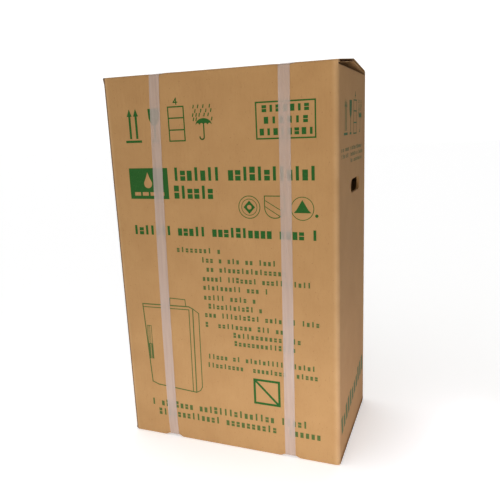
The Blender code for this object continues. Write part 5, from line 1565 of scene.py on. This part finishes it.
# %% [markdown]
# Where a flap was cut across its flutes, the wavy sheet shows between the two liners. A second tree
# draws it: it takes a straight edge, moves its points up and down in a sine wave, and sweeps a thin
# upright strip of paper along the wave.


# %% Geometry Nodes tree for the wavy sheet
wave_tree, wave_in, wave_out = new_tree(
    "wavy_sheet",
    [("Pitch", "NodeSocketFloat"), ("Swing", "NodeSocketFloat"), ("Up", "NodeSocketVector"),
     ("Depth", "NodeSocketFloat"), ("Paper", "NodeSocketFloat"), ("Board", "NodeSocketMaterial")],
)
POINTS_PER_FLUTE = 12.0
wave_step = add_node(
    wave_tree, "ShaderNodeMath", {"operation": "DIVIDE"},
    {0: wave_in.outputs["Pitch"], 1: POINTS_PER_FLUTE},
)
line = add_node(wave_tree, "GeometryNodeMeshToCurve", None, {"Mesh": wave_in.outputs["Geometry"]})
fine = add_node(
    wave_tree, "GeometryNodeResampleCurve", {"mode": "LENGTH"},
    {"Curve": line.outputs["Curve"], "Length": wave_step.outputs[0]},
)
along = add_node(wave_tree, "GeometryNodeSplineParameter").outputs["Length"]
flutes_along = add_node(
    wave_tree, "ShaderNodeMath", {"operation": "DIVIDE"}, {0: along, 1: wave_in.outputs["Pitch"]}
)
angle = add_node(
    wave_tree, "ShaderNodeMath", {"operation": "MULTIPLY"}, {0: flutes_along.outputs[0], 1: math.tau}
)
sine = add_node(wave_tree, "ShaderNodeMath", {"operation": "SINE"}, {0: angle.outputs[0]})
rise = add_node(
    wave_tree, "ShaderNodeMath", {"operation": "MULTIPLY"},
    {0: sine.outputs[0], 1: wave_in.outputs["Swing"]},
)
offset = add_node(
    wave_tree, "ShaderNodeVectorMath", {"operation": "SCALE"},
    {"Vector": wave_in.outputs["Up"], "Scale": rise.outputs[0]},
)
waved = add_node(
    wave_tree, "GeometryNodeSetPosition", None,
    {"Geometry": fine.outputs["Curve"], "Offset": offset.outputs["Vector"]},
)
upright = add_node(
    wave_tree, "GeometryNodeSetCurveNormal", {"mode": "Z_UP"}, {"Curve": waved.outputs["Geometry"]}
)
strip = add_node(
    wave_tree, "GeometryNodeCurvePrimitiveQuadrilateral", None,
    {"Width": wave_in.outputs["Depth"], "Height": wave_in.outputs["Paper"]},
)
swept = add_node(
    wave_tree, "GeometryNodeCurveToMesh", None,
    {"Curve": upright.outputs["Curve"], "Profile Curve": strip.outputs["Curve"], "Fill Caps": True},
)
whole = add_node(wave_tree, "GeometryNodeRealizeInstances", None, {"Geometry": swept.outputs["Mesh"]})
papered = add_node(
    wave_tree, "GeometryNodeSetMaterial", None,
    {"Geometry": whole.outputs["Geometry"], "Material": wave_in.outputs["Board"]},
)
wave_tree.links.new(papered.outputs["Geometry"], wave_out.inputs["Geometry"])
print("wave tree:", len(wave_tree.nodes), "nodes")

# %% [markdown]
# Six flaps get a wavy sheet along the cut that runs across their flutes: the two outer top flaps at
# the seam, and the four inner flaps at their free ends. It lies a little behind the liners' ends.

# %% Fill the cut edges
FLUTE_PAPER = 0.28 * MM
FLUTE_DEPTH = 3.2 * MM
FLUTE_RECESS = 0.4 * MM
FLUTE_SWING = BOARD * (0.5 - LINER_SHARE) - FLUTE_PAPER / 2


def fill_edge(name, start, end, up, into, body):
    """A wavy sheet from start to end, which lie on the cut edge at half the board's thickness."""
    back = into * (FLUTE_RECESS + FLUTE_DEPTH / 2)
    values = {"Pitch": FLUTE_PITCH, "Swing": FLUTE_SWING, "Up": up, "Depth": FLUTE_DEPTH,
              "Paper": FLUTE_PAPER, "Board": kraft_core}
    points, faces = grown(name, wave_tree, [start + back, end + back], [(0, 1)], values)
    sheet = make_mesh(name, points, faces, kraft_core)
    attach(sheet, body)
    dress(sheet, "kraft_board")


EDGE_MARGIN = 4 * MM
edge_middle = (outer_top[-1] + inner_top[-1]) / 2
edge_up, edge_into = outer_top[-1] - inner_top[-1], outer_top[-2] - outer_top[-1]
for side, way in (("front", 1), ("back", -1)):
    place = Vector((HALF_WIDTH - EDGE_MARGIN, way * (edge_middle.x - HALF_DEPTH), edge_middle.y))
    up = Vector((0, way * edge_up.x, edge_up.y)).normalized()
    into = Vector((0, way * edge_into.x, edge_into.y)).normalized()
    fill_edge(side + "_flap_flutes", place * Vector((-1, 1, 1)), place, up, into, side + "_flap")

for end, (outer_side, _, inner_side) in inner_flap_sections.items():
    middle = (outer_side[-1] + inner_side[-1]) / 2
    for side, way in (("right", 1), ("left", -1)):
        place = Vector((way * (HALF_WIDTH - middle.x), INNER_FLAP_HALF - EDGE_MARGIN, middle.y))
        fill_edge(side + "_inner_" + end + "_flutes", place * Vector((1, -1, 1)), place,
                  Vector((0, 0, 1)), Vector((way, 0, 0)), "root")

# %% [markdown]
# Inside the carton lies the heater. Its own CAD shapes are right as they are, so its pieces only need
# materials. One function makes them all: a pattern stirs two close colours, roughens the shine, and
# raises a fine grain. The pattern's size comes from the real one: foam beads 7 mm across are 150 in a
# metre, and zinc crystals 8 mm across are 130. Grains finer than a millimetre are drawn coarser than
# they are, so that they show.


# %% A material from a pattern
def patterned(name, pattern, per_metre, colours, roughness, grain, extra=None, stretch=(1, 1, 1)):
    """pattern is cells or cloud, per_metre of them in a metre, with a relief of grain millimetres."""
    material, tree = new_material(name)
    place = add_node(tree, "ShaderNodeTexCoord").outputs["Object"]
    drawn = add_node(tree, "ShaderNodeMapping", None, {"Vector": place, "Scale": stretch})
    where = {"Vector": drawn.outputs["Vector"], "Scale": per_metre}
    if pattern == "cells":
        figure = add_node(tree, "ShaderNodeTexVoronoi", None, where)
        share, relief = figure.outputs["Color"], figure.outputs["Distance"]
    else:
        figure = add_node(tree, "ShaderNodeTexNoise", None, {**where, "Detail": 4.0, "Roughness": 0.6})
        share = relief = figure.outputs["Fac"]
    stirred = add_node(
        tree, "ShaderNodeMix", {"data_type": "RGBA"},
        {0: share, 6: linear(colours[0]), 7: linear(colours[1])},
    )
    shine = add_node(
        tree, "ShaderNodeMapRange", None,
        {"Value": share, "From Min": 0.25, "From Max": 0.75,
         "To Min": roughness[0], "To Max": roughness[1]},
    )
    raised = add_node(
        tree, "ShaderNodeBump", {"invert": pattern == "cells"},
        {"Strength": 0.5, "Distance": grain * MM, "Height": relief},
    )
    surface = add_node(
        tree, "ShaderNodeBsdfPrincipled", None,
        {"Base Color": stirred.outputs[2], "Roughness": shine.outputs["Result"],
         "Normal": raised.outputs["Normal"], **(extra or {})},
    )
    add_node(tree, "ShaderNodeOutputMaterial", None, {"Surface": surface.outputs["BSDF"]})
    return material


METAL = {"Metallic": 1.0}
print("patterns ready")

# %% [markdown]
# What each piece is made of:
# the cover is steel with a baked powder coat, whose surface is faintly dimpled like orange peel;
# the case, the brackets and the fan's scroll are zinc-coated sheet, with the crystals of the zinc;
# the burner is plain rolled stainless steel, its grain all one way;
# the exchanger and the pipes are copper, a little brown where hands and air have been;
# the fittings and the gas parts are turned brass, or cast aluminium with a sandy skin;
# the electric parts are black nylon, silicone rubber, fired ceramic and a green lacquered board.

# %% Materials of the heater and its packing
LOOKS = {
    "bead_foam": patterned(
        "polystyrene_beads", "cells", 150.0, ("#f2f3f4", "#e9ebed"), (0.75, 0.9), 0.5,
        {"Subsurface Weight": 0.25, "Subsurface Radius": (0.004, 0.004, 0.004)},
    ),
    "white_enamel": patterned(
        "powder_coated_steel", "cloud", 800.0, ("#ebe8e0", "#e3e0d7"), (0.3, 0.4), 0.03,
        {"Coat Weight": 0.15, "Coat Roughness": 0.2},
    ),
    "zinc_steel": patterned(
        "zinc_coated_sheet", "cells", 130.0, ("#bcc1c4", "#9fa5a9"), (0.32, 0.5), 0.01, METAL
    ),
    "stainless_steel": patterned(
        "rolled_stainless_sheet", "cloud", 700.0, ("#cbc9c5", "#b3b1ac"), (0.24, 0.42), 0.015, METAL,
        (0.03, 1, 1),
    ),
    "copper": patterned(
        "drawn_copper", "cloud", 45.0, ("#d8906a", "#a5603f"), (0.22, 0.42), 0.02, METAL
    ),
    "brass": patterned(
        "turned_brass", "cloud", 500.0, ("#d6b568", "#b9964d"), (0.2, 0.36), 0.015, METAL, (0.1, 0.1, 1)
    ),
    "cast_aluminium": patterned(
        "cast_aluminium_skin", "cloud", 650.0, ("#c6c8c9", "#a9adaf"), (0.4, 0.6), 0.06, METAL
    ),
    "dark_plastic": patterned(
        "moulded_black_nylon", "cloud", 1100.0, ("#1a1b1d", "#26272a"), (0.42, 0.6), 0.04
    ),
    "silicone_rubber": patterned(
        "red_silicone_rubber", "cloud", 220.0, ("#93402f", "#7c3325"), (0.5, 0.68), 0.03,
        {"Subsurface Weight": 0.1, "Subsurface Radius": (0.002, 0.001, 0.001)},
    ),
    "white_ceramic": patterned(
        "fired_alumina", "cloud", 160.0, ("#efeadf", "#dfd9cb"), (0.12, 0.25), 0.01,
        {"Coat Weight": 0.3},
    ),
    "circuit_laminate": patterned(
        "lacquered_circuit_board", "cloud", 90.0, ("#1f5d39", "#184a2c"), (0.25, 0.4), 0.01,
        {"Coat Weight": 0.2},
    ),
}
dressed = 0
for piece in frame["nodes"].values():
    look = LOOKS.get(piece.material_slots[0].material.name)
    if look:
        piece.material_slots[0].material = look
        dressed += 1
print("CAD pieces with a material:", dressed)

# %% [markdown]
# The heater is held between two caps of expanded polystyrene, a mass of small beads steamed together:
# white, matt, and dimpled where the beads meet. A mould leaves soft edges, so each cap is a copy of
# its CAD shape with every corner rounded.

# %% Mould the foam caps
FOAM_ROUND = 3 * MM
WELD_WITHIN = 0.01 * MM
FLAT_WITHIN = math.radians(1)
SHARP = math.radians(35)

for node in ("top_foam_cap", "bottom_foam_cap"):
    shape = bmesh.new()
    shape.from_mesh(frame["nodes"][node].data)
    shape.transform(frame["nodes"][node].matrix_world)
    bmesh.ops.remove_doubles(shape, verts=shape.verts, dist=WELD_WITHIN)
    bmesh.ops.dissolve_limit(
        shape, angle_limit=FLAT_WITHIN, verts=shape.verts, edges=shape.edges
    )
    sharp = [e for e in shape.edges if len(e.link_faces) == 2 and e.calc_face_angle(0) > SHARP]
    bmesh.ops.bevel(
        shape, geom=sharp, offset=FOAM_ROUND, segments=3, profile=0.5, affect="EDGES",
        clamp_overlap=True,
    )
    cap_points = [v.co.copy() for v in shape.verts]
    cap_faces = [tuple(v.index for v in f.verts) for f in shape.faces]
    shape.free()
    cap = make_mesh(node + "_moulded", cap_points, cap_faces, LOOKS["bead_foam"])
    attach(cap, "root")
    dress(cap, "bead_foam", node)

# %% [markdown]
# The studio is a large pale floor under a white sky. The floor glows a little, as a lit table does, so
# that it meets the sky without a line. The sky sheds less light towards the carton's right, although
# the camera sees it white all round, and so the side panel falls into shade as in the photograph.

# %% Lay the floor
FLOOR_COLOUR = "#f6f6f6"
FLOOR_HALF = 14.0
FLOOR_GLOW = 0.33
FLOOR_GRAINS_PER_METRE = 300.0
FLOOR_RELIEF = 0.2 * MM

floor_paint, tree = new_material("matt_paper_floor")
place = add_node(tree, "ShaderNodeTexCoord").outputs["Object"]
grain = add_node(
    tree, "ShaderNodeTexNoise", None,
    {"Vector": place, "Scale": FLOOR_GRAINS_PER_METRE, "Detail": 2.0},
)
grain_bump = add_node(
    tree, "ShaderNodeBump", None,
    {"Strength": 0.04, "Distance": FLOOR_RELIEF, "Height": grain.outputs["Fac"]},
)
paper = add_node(
    tree, "ShaderNodeBsdfPrincipled", None,
    {"Base Color": linear(FLOOR_COLOUR), "Roughness": 0.9, "Specular IOR Level": 0.2,
     "Normal": grain_bump.outputs["Normal"], "Emission Color": linear(FLOOR_COLOUR),
     "Emission Strength": FLOOR_GLOW},
)
add_node(tree, "ShaderNodeOutputMaterial", None, {"Surface": paper.outputs["BSDF"]})
floor_mesh = bpy.data.meshes.new("floor")
corner_signs = ((-1, -1), (1, -1), (1, 1), (-1, 1))
floor_corners = [(x * FLOOR_HALF, y * FLOOR_HALF, 0) for x, y in corner_signs]
floor_mesh.from_pydata(floor_corners, [], [(0, 1, 2, 3)])
floor_mesh.materials.append(floor_paint)
floor = bpy.data.objects.new("floor", floor_mesh)
bpy.context.scene.collection.objects.link(floor)
print("floor:", 2 * FLOOR_HALF, "m wide")

# %% [markdown]
# The sky is one colour, and only its strength changes: a smooth step from full on the carton's left to
# none on its right. What the camera sees directly is always at full strength.

# %% Hang the sky
SKY_BRIGHT = 1.12
SKY_DIM = 0.0
SKY_FADE = (0.02, 0.5)

world = bpy.data.worlds.new("studio_sky")
world.use_nodes = True
tree = world.node_tree
tree.nodes.clear()
towards = add_node(tree, "ShaderNodeTexCoord").outputs["Generated"]
split = add_node(tree, "ShaderNodeSeparateXYZ", None, {"Vector": towards})
dimming = add_node(
    tree, "ShaderNodeMapRange", {"interpolation_type": "SMOOTHSTEP"},
    {"Value": split.outputs["X"], "From Min": SKY_FADE[0], "From Max": SKY_FADE[1],
     "To Min": SKY_BRIGHT, "To Max": SKY_DIM},
)
seen = add_node(tree, "ShaderNodeLightPath").outputs["Is Camera Ray"]
strength = add_node(
    tree, "ShaderNodeMix", {"data_type": "FLOAT"},
    {0: seen, 2: dimming.outputs["Result"], 3: SKY_BRIGHT},
)
sky = add_node(
    tree, "ShaderNodeBackground", None,
    {"Color": (1.0, 1.0, 1.0, 1.0), "Strength": strength.outputs[0]},
)
add_node(tree, "ShaderNodeOutputWorld", None, {"Surface": sky.outputs["Background"]})
bpy.context.scene.world = world
print("sky strength from", SKY_BRIGHT, "to", SKY_DIM)

# %% [markdown]
# Two low reflectors brighten the foot of the front and of the side, and a warm card lights the upper
# right of the front. The camera doesn't see them.

# %% Set the lights
# Place, width and depth, power in watts, tint, and the point that the light is aimed at.
LIGHTS = {
    "front_reflector": ((0.10, -0.46, 0.045), (0.9, 0.09), 1.6, "#eef2ff", (0.02, -0.13, 0.07)),
    "side_reflector": ((0.50, -0.06, 0.03), (0.35, 0.05), 0.35, "#f4e6f4", (0.2, -0.03, 0.03)),
    "upper_card": ((0.42, -0.78, 0.78), (0.4, 0.4), 1.6, "#fff6ea", (0.17, -0.13, 0.64)),
}

for name, (stand, (width, depth), power, tint, aim) in LIGHTS.items():
    lamp = bpy.data.lights.new(name, "AREA")
    lamp.shape = "RECTANGLE"
    lamp.size = width
    lamp.size_y = depth
    lamp.energy = power
    lamp.color = linear(tint)[:3]
    light = bpy.data.objects.new(name, lamp)
    light.location = stand
    light.rotation_euler = (Vector(aim) - Vector(stand)).to_track_quat("-Z", "Y").to_euler()
    light.visible_camera = False
    bpy.context.scene.collection.objects.link(light)
bpy.context.scene.view_settings.view_transform = "Standard"
print("studio lights:", sorted(LIGHTS))
